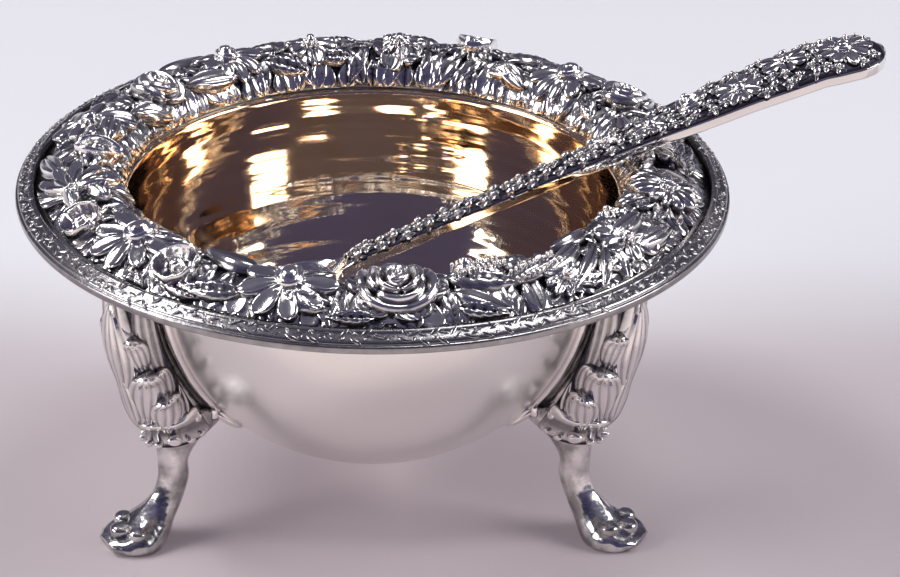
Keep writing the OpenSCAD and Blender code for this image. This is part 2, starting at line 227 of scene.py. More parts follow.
def mesh_of(name, points, quads, heights=None):
    """Smooth mesh. A face whose first or last two corners are the same point becomes a triangle."""
    mesh = bpy.data.meshes.new(name)
    faces = [q[:3] if q[2] == q[3] else (q[1:] if q[0] == q[1] else q) for q in quads.tolist()]
    mesh.from_pydata(points.tolist(), [], faces)
    mesh.polygons.foreach_set("use_smooth", np.ones(len(mesh.polygons), bool))
    if heights is not None:
        mesh.attributes.new("relief", "FLOAT", "POINT").data.foreach_set("value", heights.astype(np.float32))
    mesh.update()
    return mesh


def make_piece(name, parts, finish, body, nodes):
    """One named piece that rides on a body and stands for its CAD nodes."""
    piece = bpy.data.objects.new(name, mesh_of(name, *merged(parts)))
    bpy.context.scene.collection.objects.link(piece)
    piece.data.materials.append(finish)
    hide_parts(*nodes)
    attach(piece, body)
    return piece


# Shapes that the relief is made of, each one unit long, one wide and one high

def blade(steps=14, across=9, belly=0.62, blunt=0.6, crown=2.2, groove=0.0, ribs=0, rib=0.0, veins=0,
          vein=0.0, dish=0.0, rise=0.0, tip=0.0, ruffle=0.0, sink=0.55, root=0.0, body=1.0):
    """A leaf or petal along +X, with a tone that is dark in its grooves and at its sides. belly moves its
    widest place out, blunt rounds its tip, and the rest shape its top."""
    first, last, groove_w, line_w, side_tone = 0.012, 0.985, 0.16, 0.14, 0.7
    u = (1 - np.cos(np.pi * np.linspace(first, last, steps))) / 2
    v = np.sin(np.pi / 2 * np.linspace(-1, 1, across))
    half = 0.5 * np.maximum(np.sin(np.pi * u ** (math.log(0.5) / math.log(belly))), 0.001) ** blunt
    half = np.maximum(half, root * (1 - u) * 0.5) * (1 + ruffle * np.sin(u * 21))
    uu, vv = np.meshgrid(u, v, indexing="ij")
    z = (1 - np.abs(vv) ** crown) * (1 - dish * (1 - vv ** 2)) - groove * np.exp(-(vv / groove_w) ** 2)
    dark = (groove > 0) * np.exp(-(vv / line_w) ** 2) + side_tone * np.abs(vv) ** 10
    if ribs:
        z = z + rib * np.cos(np.pi * ribs * vv) * (1 - vv ** 4)
        dark = np.maximum(dark, 0.66 * (0.5 - 0.5 * np.cos(np.pi * ribs * vv)) ** 2)
    if veins:
        line = (0.5 + 0.5 * np.cos(2 * np.pi * (veins * uu - 2 * np.abs(vv)))) ** 3 * (1 - vv ** 2)
        z = z - vein * line
        dark = np.maximum(dark, line)
    z = body * z * (0.35 + 0.65 * np.sin(np.pi * np.clip(uu, 0.02, 0.98) ** 0.8) ** 0.6) + rise * uu
    z = z + tip * np.exp(-((uu - 0.93) / 0.1) ** 2) * (1 - 0.5 * vv ** 2)
    top = np.stack([uu, vv * half[:, None], z], 2)
    low = np.stack([uu, vv * half[:, None] * 0.9, np.full_like(z, -sink)], 2)[:, [across - 1, across // 2, 0]]
    tone = np.concatenate([1 - 0.85 * np.clip(dark, 0, 1), np.zeros((steps, 3))], 1)
    return (*loft(np.concatenate([top, low], 1)), np.concatenate([tone.ravel(), (0.5, 0.5)]))


def dome(profile, turns=24, wave=0.0, waves=0, least_r=0.004):
    """A turned boss from a list of radii and heights, from its middle out, closed underneath."""
    line = smooth_line(profile, 4 * len(profile))
    line[:, 0] = np.maximum(line[:, 0], least_r)
    a = np.linspace(0, 2 * np.pi, turns, endpoint=False)
    wavy = 1 + wave * np.cos(waves * a)
    rings = [np.stack([r * wavy * np.cos(a), r * wavy * np.sin(a), np.full_like(a, z)], 1) for r, z in line]
    points, quads = loft(np.array(rings))
    return points, quads, np.ones(len(points))


def crescent(steps=18, across=12, spread=62, roll=0.16):
    """A rose petal seen from above: a curved wall round the flower's middle, with its lip rolled outwards."""
    a = np.radians(np.linspace(-spread, spread, steps))
    share = np.linspace(0, 1, across)
    taper = np.cos(a / np.radians(spread) * np.pi / 2) ** 0.45
    lip = roll * np.exp(-((share - 0.8) / 0.12) ** 2)
    rows = []
    for turn, t in zip(a, taper):
        high = np.sin(share ** 1.5 * np.pi * 0.86) * (0.35 + 0.65 * t) + lip
        radius = (0.5 + 0.5 * share) * (0.84 + 0.16 * t)
        out = np.concatenate([radius, radius[[-1, 0]]])
        z = np.concatenate([high * 0.9, (-0.5, -0.5)])
        rows.append(np.stack([out * math.cos(turn), out * math.sin(turn), z], 1))
    points, quads = loft(np.array(rows))
    tone = 0.15 + 0.85 * np.clip(points[:, 2] / points[:, 2].max(), 0, 1) ** 1.5
    return points, quads, tone


SHAPES = {
    "petal": lambda: blade(16, 11, belly=0.7, blunt=0.5, crown=8, groove=-0.12, dish=0.6, rise=0.25, tip=0.1),
    "ray": lambda: blade(14, 9, belly=0.64, blunt=0.5, crown=4, groove=0.3, rise=0.2),
    "broad": lambda: blade(20, 21, belly=0.72, blunt=0.4, crown=9, dish=0.6, ribs=5, rib=0.09, rise=0.35,
                           tip=0.12),
    "heart": lambda: blade(18, 13, belly=0.74, blunt=0.4, crown=8, groove=0.2, dish=0.5, rise=0.3, tip=0.1),
    "leaf": lambda: blade(44, 15, belly=0.42, blunt=0.85, crown=3, groove=0.45, veins=5, vein=0.24, dish=0.2,
                          rise=0.1),
    "lance": lambda: blade(26, 11, belly=0.4, blunt=0.95, crown=2.4, groove=0.6, rise=0.08, tip=0.12),
    "strap": lambda: blade(26, 21, belly=0.5, blunt=0.7, crown=5, ribs=4, rib=0.24, dish=0.2, rise=0.05),
    "jagged": lambda: blade(48, 13, belly=0.5, blunt=0.7, crown=3, groove=0.5, veins=6, vein=0.3,
                            ruffle=0.12),
    "small": lambda: blade(8, 5, belly=0.5, blunt=0.8, crown=1.7, groove=0.4, sink=0.4),
    "frond": lambda: blade(18, 9, belly=0.5, blunt=0.75, crown=3, groove=0.5, veins=5, vein=0.35, rise=0.1),
    "tongue": lambda: blade(12, 9, belly=0.64, blunt=0.5, crown=6, groove=0.1, dish=0.5, rise=0.2, tip=0.15),
    "ribbed": lambda: blade(30, 45, belly=0.46, blunt=0.6, crown=5, ribs=8, rib=0.15, rise=0.05, tip=0.15),
    "tulip": lambda: blade(28, 37, belly=0.6, blunt=0.52, crown=3, ribs=5, rib=0.14, rise=0.4, tip=0.4,
                           body=0.5, root=0.45),
    "bud": lambda: blade(18, 13, belly=0.48, blunt=0.5, crown=2.0, ribs=3, rib=0.12, rise=0.1),
    "crescent": crescent,
    "bead": lambda: dome([(0, 1), (0.3, 0.95), (0.44, 0.7), (0.5, 0.3), (0.48, -0.5)], 16),
    "pearl": lambda: dome([(0, 1), (0.4, 0.8), (0.48, -0.5)], 10),
    "eye": lambda: dome([(0, 1), (0.2, 0.95), (0.3, 0.62), (0.34, 0.5), (0.42, 0.66), (0.5, 0.3),
                         (0.5, -0.5)], 28),
    "cup": lambda: dome([(0, 0.85), (0.1, 0.82), (0.16, 0.4), (0.2, 0.1), (0.3, 0.08), (0.38, 0.5),
                         (0.43, 0.95), (0.47, 0.85), (0.5, 0.4), (0.5, -0.5)], 40, wave=0.02, waves=9),
    "rosebud": lambda: dome([(0, 0.8), (0.07, 1), (0.12, 0.72), (0.17, 0.7), (0.22, 0.98), (0.27, 0.64),
                             (0.33, 0.6), (0.4, 0.9), (0.46, 0.7), (0.5, 0.2), (0.5, -0.5)], 32,
                            wave=0.05, waves=3),
}


# Nodes, and the tree that sets the shapes on their places

def fill(tree, node, values):
    """Gives a node's inputs their plain values, or links them to other nodes' outputs."""
    for key, value in values.items():
        if isinstance(value, bpy.types.NodeSocket):
            tree.links.new(value, node.inputs[key])
        else:
            node.inputs[key].default_value = value


def add(tree, kind, values=None, out=0, **settings):
    """Adds a node with its settings and inputs, and gives one of its outputs."""
    node = tree.nodes.new(kind)
    for key, value in settings.items():
        setattr(node, key, value)
    fill(tree, node, values or {})
    return node.outputs[out] if len(node.outputs) else None


def scatter_tree():
    """Sets a shape on each point, with the point's own turn and size, and a variation from a fixed seed."""
    tree = bpy.data.node_groups.get("Relief shapes on points")
    if tree:
        return tree
    tree = bpy.data.node_groups.new("Relief shapes on points", "GeometryNodeTree")
    for name, kind, default in (("Geometry", "Geometry", None), ("Shape", "Object", None),
                                ("Finish", "Material", None), ("Scale", "Float", 1.0),
                                ("Variation", "Float", 0.06), ("Seed", "Int", 3)):
        item = tree.interface.new_socket(name=name, in_out="INPUT", socket_type="NodeSocket" + kind)
        if default is not None:
            item.default_value = default
    tree.interface.new_socket(name="Geometry", in_out="OUTPUT", socket_type="NodeSocketGeometry")
    given = tree.nodes.new("NodeGroupInput").outputs
    turn, size = (add(tree, "GeometryNodeInputNamedAttribute", {"Name": name}, data_type="FLOAT_VECTOR")
                  for name in ("turn", "size"))
    low, high = (add(tree, "ShaderNodeMath", {0: 1, 1: given["Variation"]}, operation=sign)
                 for sign in ("SUBTRACT", "ADD"))
    chance = add(tree, "FunctionNodeRandomValue", {2: low, 3: high, "Seed": given["Seed"]}, 1)
    factor = add(tree, "ShaderNodeMath", {0: chance, 1: given["Scale"]}, operation="MULTIPLY")
    scale = add(tree, "ShaderNodeVectorMath", {0: size, "Scale": factor}, operation="SCALE")
    rotation = add(tree, "FunctionNodeEulerToRotation", {0: turn})
    shape = add(tree, "GeometryNodeObjectInfo", {"Object": given["Shape"], "As Instance": True}, "Geometry")
    copies = add(tree, "GeometryNodeInstanceOnPoints",
                 {"Points": given["Geometry"], "Instance": shape, "Rotation": rotation, "Scale": scale})
    real = add(tree, "GeometryNodeRealizeInstances", {0: copies})
    add(tree, "NodeGroupOutput",
        {0: add(tree, "GeometryNodeSetMaterial", {"Geometry": real, "Material": given["Finish"]})})
    return tree


def scatter(kind, places, finish, variation=0.06, seed=3):
    """Every copy of one relief shape, as points, faces and tones in the flat space of its ground.
    A place is (x, y, z, turn, lean, length, width, height)."""
    places = np.asarray(places, float)
    unit, one, tone = SHAPES[kind]()
    ground = bpy.data.meshes.new(kind + "_places")
    ground.from_pydata(places[:, :3].tolist(), [], [])
    turns = np.stack([np.zeros(len(places)), -places[:, 4], places[:, 3]], 1)
    for name, values in (("turn", turns), ("size", places[:, 5:8])):
        data = ground.attributes.new(name, "FLOAT_VECTOR", "POINT").data
        data.foreach_set("vector", values.astype(np.float32).ravel())
    shape = bpy.data.objects.new(kind, mesh_of(kind, unit, one))
    carrier = bpy.data.objects.new(kind + "_places", ground)
    for thing in (shape, carrier):
        bpy.context.scene.collection.objects.link(thing)
    tree = scatter_tree()
    modifier = carrier.modifiers.new("Relief", "NODES")
    modifier.node_group = tree
    given = {item.name: item.identifier for item in tree.interface.items_tree if item.in_out == "INPUT"}
    for name, value in (("Shape", shape), ("Finish", finish), ("Scale", 1.0), ("Variation", variation),
                        ("Seed", seed)):
        modifier[given[name]] = value
    made = bpy.data.meshes.new_from_object(carrier.evaluated_get(bpy.context.evaluated_depsgraph_get()))
    points = np.empty(len(made.vertices) * 3, np.float32)
    made.vertices.foreach_get("co", points)
    carrier.modifiers.remove(modifier)
    for thing in (shape, carrier):
        bpy.data.objects.remove(thing)
    bpy.data.meshes.remove(made)
    points = points.reshape(-1, 3).astype(float)
    copies = len(points) // len(unit)
    quads = np.concatenate([one + k * len(unit) for k in range(copies)])
    return points, quads, np.tile(tone, copies)


def relief_parts(lists, finish, skin, tall, low, variation=0.06, seed=3):
    """Relief from lists of (shape, places), laid over a curved ground, with each point's height and tone as a
    share for the finish."""
    found, parts = {}, []
    for shape, places in lists:
        found.setdefault(shape, []).extend(places)
    for shape, places in found.items():
        flat, quads, tone = scatter(shape, places, finish, variation, seed)
        heights = np.clip((flat[:, 2] - low) / tall, 0, 1)
        parts.append((*outward(skin(*flat.T), quads), heights * tone))
    return parts


# The flower border

def flange_top(bowl, r):
    """Height of the flange's upper face at a radius."""
    return bowl.neck_z + bowl.sheet + (r - bowl.mouth_r) * bowl.flange_climb


def border_profile(sizes, bowl):
    """Radius and height across the border's ground, from the mouth outwards."""
    shares = [(0, 0), (0.03, 0.3), (0.1, 0.62), (0.2, 0.88), (0.32, 0.99), (0.42, 1), (0.56, 0.88),
              (0.72, 0.64), (0.86, 0.36), (0.96, 0.1), (1, 0)]
    rows = 160
    line = smooth_line(shares, rows)
    radius = BORDER_HI.x - sizes.width * (1 - line[:, 0])
    return radius, flange_top(bowl, radius) + sizes.edge + sizes.swell * line[:, 1]


class RingSkin:
    """Ground round the axis: x is the way round at the crest, y the way across, h the height above."""

    def __init__(self, radius, height):
        self.radius, self.height = radius, height
        self.way = way_along(np.stack([radius, height], 1))
        self.out_r, self.out_z = -np.gradient(height, self.way), np.gradient(radius, self.way)
        self.crest_r = radius[np.argmax(height)]

    def across(self, radius):
        """Way across the ground to a radius."""
        return np.interp(radius, self.radius, self.way)

    def __call__(self, x, y, h):
        """Points over the ground, at its nearer edge where y runs past one."""
        y = np.clip(y, 0, self.way[-1])
        r = np.interp(y, self.way, self.radius) + np.interp(y, self.way, self.out_r) * h
        z = np.interp(y, self.way, self.height) + np.interp(y, self.way, self.out_z) * h
        a = x / self.crest_r
        return np.stack([r * np.sin(a), -r * np.cos(a), z], 1)


# Each flower: turn from the front in degrees, radius of its place in mm, its own radius in mm, kind, its spin
FLOWERS = [
    (3, 31.8, 4.8, "rose", 10), (-17, 32.3, 4.8, "daisy", 6), (-38.5, 34.0, 2.7, "cup", 0),
    (-52, 32.2, 5.0, "daisy", 8), (-64.5, 34.9, 2.5, "cup", 0), (-77, 33.8, 4.4, "lily", 190),
    (-107.5, 33.2, 4.4, "five", 0), (-128, 31.4, 3.0, "rosebud", 0), (-149, 32.4, 3.8, "daisy", 15),
    (-168, 32.2, 3.2, "five", 30), (173, 31.6, 3.3, "pansy", 0), (157.5, 33.6, 3.5, "ringed", 0),
    (133.5, 32.4, 4.4, "daisy", 0), (119.5, 34.0, 3.1, "rosebud", 0), (92, 31.2, 2.6, "five", 12),
    (72.5, 33.2, 5.0, "aster", 5), (52, 33.6, 3.3, "five", 0), (34, 34.8, 2.2, "daisy", 0),
    (58, 30.2, 2.2, "pansy", 40), (-92, 31.0, 2.3, "cup", 0), (17.5, 30.2, 1.5, "rosebud", 0)]

# Each leaf: turn from the front in degrees, radius of its root, length and width in mm, direction, kind.
# Direction 0 runs round to the right as the front shows it, and 90 outwards.
LEAVES = [
    (-8, 35.2, 6.0, 2.3, -168, "leaf"), (-9, 29.6, 4.6, 1.9, 200, "leaf"),
    (-24, 34.6, 6.4, 2.2, 168, "leaf"), (-24, 31.0, 7.4, 2.4, 186, "lance"),
    (-26, 29.2, 6.4, 2.0, 176, "lance"), (-31, 36.2, 5.4, 1.8, 188, "leaf"),
    (-43, 30.0, 4.8, 1.9, 170, "leaf"), (-46, 35.6, 4.2, 1.8, 60, "leaf"),
    (-59, 30.6, 5.4, 2.0, 200, "leaf"), (-70, 31.2, 5.6, 2.2, 170, "strap"),
    (-84, 34.4, 6.6, 2.6, 160, "strap"), (-85, 31.8, 6.4, 2.2, 190, "lance"),
    (-98, 35.4, 5.2, 2.1, 200, "leaf"), (-99, 30.4, 6.0, 2.3, 172, "strap"),
    (-114, 30.4, 6.2, 2.3, 205, "strap"), (-116, 35.0, 6.6, 2.4, 166, "leaf"),
    (-124, 33.8, 6.6, 2.3, 190, "lance"), (-134, 30.0, 7.4, 2.3, 186, "strap"),
    (-135, 34.8, 7.0, 2.2, 172, "lance"), (-156, 34.6, 6.4, 2.3, 160, "leaf"),
    (-156, 30.4, 5.8, 2.2, 200, "leaf"), (-178, 35.2, 5.8, 2.3, 30, "jagged"),
    (-176, 30.0, 4.6, 1.9, 0, "leaf"), (167, 30.2, 5.2, 2.1, 10, "leaf"),
    (166, 35.4, 5.2, 2.0, -30, "jagged"), (151, 34.8, 6.4, 2.5, -168, "leaf"),
    (150, 30.6, 6.0, 2.3, 200, "strap"), (141, 35.2, 5.0, 2.1, 20, "leaf"),
    (142, 30.2, 5.4, 2.0, -10, "lance"), (126, 35.6, 4.6, 1.9, 170, "leaf"),
    (125, 30.4, 5.4, 2.1, 200, "leaf"), (111, 34.6, 6.2, 2.4, -165, "leaf"),
    (111, 30.6, 6.2, 2.3, 195, "strap"), (102, 33.2, 6.0, 2.4, 180, "jagged"),
    (99, 35.4, 5.4, 2.0, -170, "leaf"), (85, 35.0, 5.0, 2.0, -8, "leaf"), (84, 30.0, 4.8, 1.9, 12, "leaf"),
    (63, 35.4, 6.2, 2.2, 186, "strap"), (62, 32.4, 7.0, 2.2, 178, "strap"),
    (61, 29.6, 7.2, 2.1, 172, "jagged"), (52, 29.4, 7.0, 2.0, 176, "strap"),
    (50, 35.8, 5.0, 1.8, 190, "leaf"), (43, 36.0, 4.6, 1.7, 186, "leaf"),
    (33, 29.4, 6.6, 2.1, 170, "jagged"), (12.5, 31.2, 7.6, 2.6, 20, "leaf"),
    (13, 33.6, 6.2, 2.2, 34, "lance"), (43, 31.4, 7.2, 1.9, 160, "strap"),
    (45, 32.6, 7.4, 1.5, 148, "lance"), (46.5, 33.0, 7.2, 1.4, 132, "lance"),
    (48, 33.4, 5.4, 1.4, 112, "lance"), (26, 31.0, 6.8, 2.0, 178, "beaded"),
    (36, 32.4, 7.0, 1.8, 170, "beaded"), (13, 35.4, 4.6, 1.9, 20, "leaf"),
    (14, 29.6, 4.8, 1.9, -10, "leaf"), (-1, 36.0, 4.4, 1.7, 178, "leaf")]

# What a flower is made of, from its outside in: shape, how many round its middle, whether they turn with the
# flower, turn of the first, length and width as shares of the flower's radius, height and place above the
# ground as shares of the relief, lean, and start from the middle as a share of the radius.
PETALS = {
    "daisy": [("petal", 10, 1, 0, 1, 0.44, 0.62, 0.1, 0.02, 0.05),
              ("ray", 10, 1, math.pi / 10, 0.95, 0.24, 0.4, 0, 0, 0),
              ("eye", 1, 1, 0, 0.62, 0.62, 0.6, 0.42, 0, 0)],
    "aster": [("petal", 13, 1, 0, 1, 0.34, 0.56, 0.06, 0.02, 0),
              ("ray", 12, 1, 0.2, 0.64, 0.26, 0.5, 0.4, 0.12, 0), ("eye", 1, 1, 0, 0.5, 0.5, 0.45, 0.6, 0, 0),
              ("bead", 7, 0, 0, 0.12, 0.12, 0.16, 0.95, 0, 0.13)],
    "pansy": [("broad", 5, 1, 0, 1, 1.02, 0.55, 0.05, 0.04, 0),
              ("heart", 5, 1, math.pi / 5, 0.72, 0.5, 0.52, 0.3, 0.06, 0),
              ("ray", 9, 1, 0, 0.42, 0.13, 0.3, 0.55, 0.1, 0), ("bead", 1, 0, 0, 0.3, 0.3, 0.5, 0.55, 0, 0)],
    "five": [("heart", 6, 1, 0, 1, 0.7, 0.66, 0.04, 0.03, 0),
             ("small", 6, 1, math.pi / 6, 1.02, 0.3, 0.35, 0, 0, 0),
             ("bead", 6, 1, 0, 0.15, 0.15, 0.2, 0.5, 0, 0.2), ("bead", 1, 0, 0, 0.34, 0.34, 0.5, 0.45, 0, 0)],
    "cup": [("small", 8, 1, 0, 1.25, 0.5, 0.4, 0, 0, 0), ("cup", 1, 0, 0, 1.72, 1.72, 0.9, 0.1, 0, 0)],
    "ringed": [("ray", 11, 1, 0, 1, 0.4, 0.5, 0, 0, 0), ("cup", 1, 0, 0, 1.25, 1.25, 0.75, 0.25, 0, 0)],
    "rosebud": [("broad", 5, 1, 0, 1.15, 0.95, 0.5, 0, 0.02, 0), ("crescent", 3, 1, 0, 1, 1, 0.75, 0.1, 0, 0),
                ("rosebud", 1, 0, 0, 1.3, 1.3, 0.75, 0.25, 0, 0)],
    "rose": [("broad", 6, 1, 0, 1.06, 0.86, 0.52, 0, 0.02, 0),
             ("crescent", 4, 1, 0.4, 0.92, 0.92, 0.66, 0.12, 0, 0),
             ("crescent", 3, 1, 1.2, 0.7, 0.7, 0.7, 0.28, 0, 0),
             ("crescent", 3, 1, 0.2, 0.48, 0.48, 0.6, 0.45, 0, 0),
             ("rosebud", 1, 0, 0, 0.52, 0.52, 0.5, 0.55, 0, 0)],
}


def ring_of(x, y, count, start, shape, size, z=0.0, lean=0.0, root=0.0):
    """Places of petals round a flower. size is (length, width, height), root their start from its middle."""
    turns = start + 2 * np.pi * np.arange(count) / count
    return shape, [(x + root * math.cos(a), y + root * math.sin(a), z, a, lean, *size) for a in turns]


def flower_parts(kind, x, y, r, spin, h):
    """The petals, middle and beads of a flower of radius r and height h, in the flat space of its ground."""
    if kind == "lily":
        fan = [spin + math.radians(k) for k in range(-76, 77, 19)]
        inner = [a + 0.16 for a in fan[1:-1]]
        return [("petal", [(x + 0.35 * r, y, 0.06 * h, a, 0.05, 1.55 * r, 0.32 * r, 0.62 * h) for a in fan]),
                ("ray", [(x + 0.35 * r, y, 0.4 * h, a, 0.05, 0.95 * r, 0.2 * r, 0.42 * h) for a in inner]),
                ring_of(x + 0.3 * r, y, 6, 0, "bead", (0.14 * r, 0.14 * r, 0.2 * h), 0.8 * h, 0, 0.12 * r),
                ("bud", [(x - 0.2 * r, y, 0.15 * h, spin + math.pi, 0.02, 1.1 * r, 0.5 * r, 0.7 * h)])]
    return [ring_of(x, y, count, spun * spin + first, shape, (long * r, wide * r, high * h), z * h, lean,
                    root * r)
            for shape, count, spun, first, long, wide, high, z, lean, root in PETALS[kind]]


def border_skin(context):
    """The border's sizes and the skin of its ground."""
    sizes = context.scene.salt_border
    return sizes, RingSkin(*border_profile(sizes, context.scene.salt_bowl))


def border_piece(context, name, lists, skin, low=-0.1):
    """One piece of the border's relief, laid over its ground."""
    relief, finish = context.scene.salt_border.relief, chased_silver(context.scene.salt_finishes)
    make_piece(name, relief_parts(lists, finish, skin, relief, low * relief), finish, BODY_CELLAR,
               ["flower_border"])
    return {"FINISHED"}


class OBJECT_OT_salt_blossoms(bpy.types.Operator):
    """Builds the flowers of the border"""
    bl_idname = "object.salt_blossoms"
    bl_label = "Blossoms"

    def execute(self, context):
        sizes, skin = border_skin(context)
        lists = []
        for turn, place_r, r, kind, spin in FLOWERS:
            x, y = math.radians(turn) * skin.crest_r, skin.across(place_r * MM)
            lists += flower_parts(kind, x, y, r * MM, math.radians(spin), sizes.relief)
        return border_piece(context, "border_blossoms", lists, skin)


class OBJECT_OT_salt_leaves(bpy.types.Operator):
    """Builds the long leaves that sweep between the flowers of the border"""
    bl_idname = "object.salt_leaves"
    bl_label = "Border leaves"

    def execute(self, context):
        sizes, skin = border_skin(context)
        tall, bead, spread, lists = sizes.relief, 0.42 * MM, 1.2, []
        for turn, place_r, long, wide, way, kind in LEAVES:
            x, y, way = math.radians(turn) * skin.crest_r, skin.across(place_r * MM), math.radians(way)
            lists.append(("strap" if kind == "beaded" else kind,
                          [(x, y, 0.12 * tall, way, 0.02, long * MM, wide * spread * MM, 0.58 * tall)]))
            if kind == "beaded":
                c, s = math.cos(way), math.sin(way)
                rows = [(along, side * 0.28 * wide * MM) for along in np.arange(0.12, 0.95, 0.09) * long * MM
                        for side in (-1, 1)]
                lists.append(("bead", [(x + u * c - v * s, y + u * s + v * c, 0.5 * tall, 0, 0, bead, bead,
                                        0.4 * tall) for u, v in rows]))
        return border_piece(context, "border_leaves", lists, skin)


# Fringe: leaves higher than this share of the relief stray from their direction, by up to so many degrees
UPRIGHT, STRAY = 0.4, 34


class OBJECT_OT_salt_fringe(bpy.types.Operator):
    """Builds the leaves of the border's inner wall and outer edge, and the small ones between"""
    bl_idname = "object.salt_fringe"
    bl_label = "Border fringe"

    def execute(self, context):
        sizes, skin = border_skin(context)
        chance = np.random.default_rng(sizes.seed)
        crest, edge, tall = skin.across(skin.crest_r), skin.way[-1], sizes.relief
        kinds, lists, inwards, outwards = ("frond", "tongue", "petal"), [], -90, 90
        # Each row's leaves, direction, root and reach across the ground, and height as a share of the relief
        rows = [(sizes.inner, inwards, crest * 1.02, crest * 1.1, 0.5),
                (sizes.outer, outwards, crest, 1.06 * (edge - crest), 0.46),
                (sizes.inner, inwards, 0.29 * edge, 0.33 * edge, 0.4),
                (sizes.outer, outwards, 0.66 * edge, 0.39 * edge, 0.34)]
        for count, way, root, reach, high in rows:
            for k in range(count):
                x = (k + chance.uniform(-0.3, 0.3)) * 2 * math.pi * skin.crest_r / count
                turn = math.radians(way + chance.uniform(-STRAY, STRAY) * (high > UPRIGHT))
                long, wide = reach * chance.uniform(0.94, 1.08), chance.uniform(2.2, 3.0) * MM
                lists.append((kinds[k % 3], [(x, root, -0.05 * tall, turn, 0.0, long, wide, high * tall)]))
        around = np.linspace(-np.pi, np.pi, sizes.filler, endpoint=False)
        around = around + chance.uniform(-0.01, 0.01, sizes.filler)
        lists.append(("small", [(a * skin.crest_r, chance.uniform(0.05, 0.95) * edge, -0.05 * tall,
                                 chance.uniform(0, 2 * np.pi), 0.0, chance.uniform(2, 3.2) * MM,
                                 chance.uniform(1, 1.5) * MM, chance.uniform(0.35, 0.5) * tall)
                                for a in around]))
        return border_piece(context, "border_fringe", lists, skin, -0.4)


class OBJECT_OT_salt_ground(bpy.types.Operator):
    """Builds the swelling ground of the border"""
    bl_idname = "object.salt_ground"
    bl_label = "Border ground"

    def execute(self, context):
        bowl = context.scene.salt_bowl
        radius, height = border_profile(context.scene.salt_border, bowl)
        channel, gap, channel_deep, turns = BAND_HI.x - BAND_W, 0.05 * MM, 0.12 * MM, 360
        floor_z = flange_top(bowl, channel) + channel_deep
        foot = [(radius[-1] + 0.08 * MM, floor_z), (channel, floor_z)]
        top = np.concatenate([np.stack([radius, height], 1)[::3], foot])
        under = top[::-6].copy()
        under[:, 1] = flange_top(bowl, under[:, 0]) + gap
        points, quads = ring_loft(turned(np.concatenate([top, under]), turns))
        reach = np.hypot(points[:, 0], points[:, 1])
        tone = np.interp(reach, (radius[0], radius[20], radius[-40], radius[-1]), (0.35, 0.1, 0.12, 0.4))
        make_piece("border_ground", [(points, quads, tone)], chased_silver(context.scene.salt_finishes),
                   BODY_CELLAR, ["flower_border"])
        return {"FINISHED"}


# The bowl and its edge band

class OBJECT_OT_salt_bowl(bpy.types.Operator):
    """Builds the bowl with its flange, and the gold wash inside it"""
    bl_idname = "object.salt_bowl"
    bl_label = "Bowl"

    def execute(self, context):
        sizes, finishes = context.scene.salt_bowl, context.scene.salt_finishes
        neck_r, cup_r = sizes.mouth_r + sizes.sheet / 2, sizes.mouth_r - sizes.sheet / 2
        deep, rows, corner_rows, flange_rows = sizes.neck_z - BOWL_LO.z, 70, 7, 12
        a = np.radians(np.linspace(0.3, 90, rows))
        outside = np.stack([neck_r * np.sin(a), sizes.neck_z - deep * np.cos(a)], 1)
        inside = np.stack([cup_r * np.sin(a), sizes.neck_z - (deep - sizes.sheet) * np.cos(a)], 1)
        flange_under = sizes.neck_z + (BOWL_HI.x - neck_r) * sizes.flange_climb
        corner, rounding = np.radians(np.linspace(0, 90, corner_rows)), sizes.sheet * 0.5
        mouth = np.stack([cup_r + rounding * (1 - np.cos(corner)),
                          sizes.neck_z + sizes.sheet - rounding + rounding * np.sin(corner)], 1)
        flange = [(BOWL_HI.x, flange_under), (BOWL_HI.x, BOWL_HI.z)]
        steps = [(r, flange_top(sizes, r))
                 for r in np.linspace(BOWL_HI.x, sizes.mouth_r, flange_rows)[1:]]
        wall = np.concatenate([outside, flange, steps, mouth[::-1][1:], inside[::-1]])
        points, quads = loft(turned(wall, sizes.turns).transpose(1, 0, 2))
        piece = make_piece("bowl_shell", [(points, quads)], plain_silver(finishes, "satin_silver"),
                           BODY_CELLAR, ["bowl"])
        piece.data.materials.append(gold_wash(finishes))
        first_inside = len(outside) + len(flange) + len(steps)
        gold = (quads.min(1) // sizes.turns >= first_inside - 1) & (quads.max(1) != len(points) - 2)
        piece.data.polygons.foreach_set("material_index", gold.astype(np.int32))
        return {"FINISHED"}


# The edge band's outline in mm. Top: way out from its inner edge and way down. Lip: way in from the rim and
# way down. Foot: way in from the rim and way up from its lowest edge.
BAND_TOP = [(0, 0.7), (0.06, 0.12), (0.3, 0), (0.62, 0.16), (0.75, 0.3)]
BAND_LIP = [(0.5, 0.72), (0.28, 0.98), (0.3, 1.12), (0.05, 1.25)]
BAND_FOOT = [(0, 0.5), (0.12, 0.08), (0.5, 0)]
# Its two engraved leaves at each step: length in steps, width in mm and direction
BAND_LEAVES = [(1.3, 0.55, 38), (0.9, 0.42, 142)]
BAND_SEED = 4


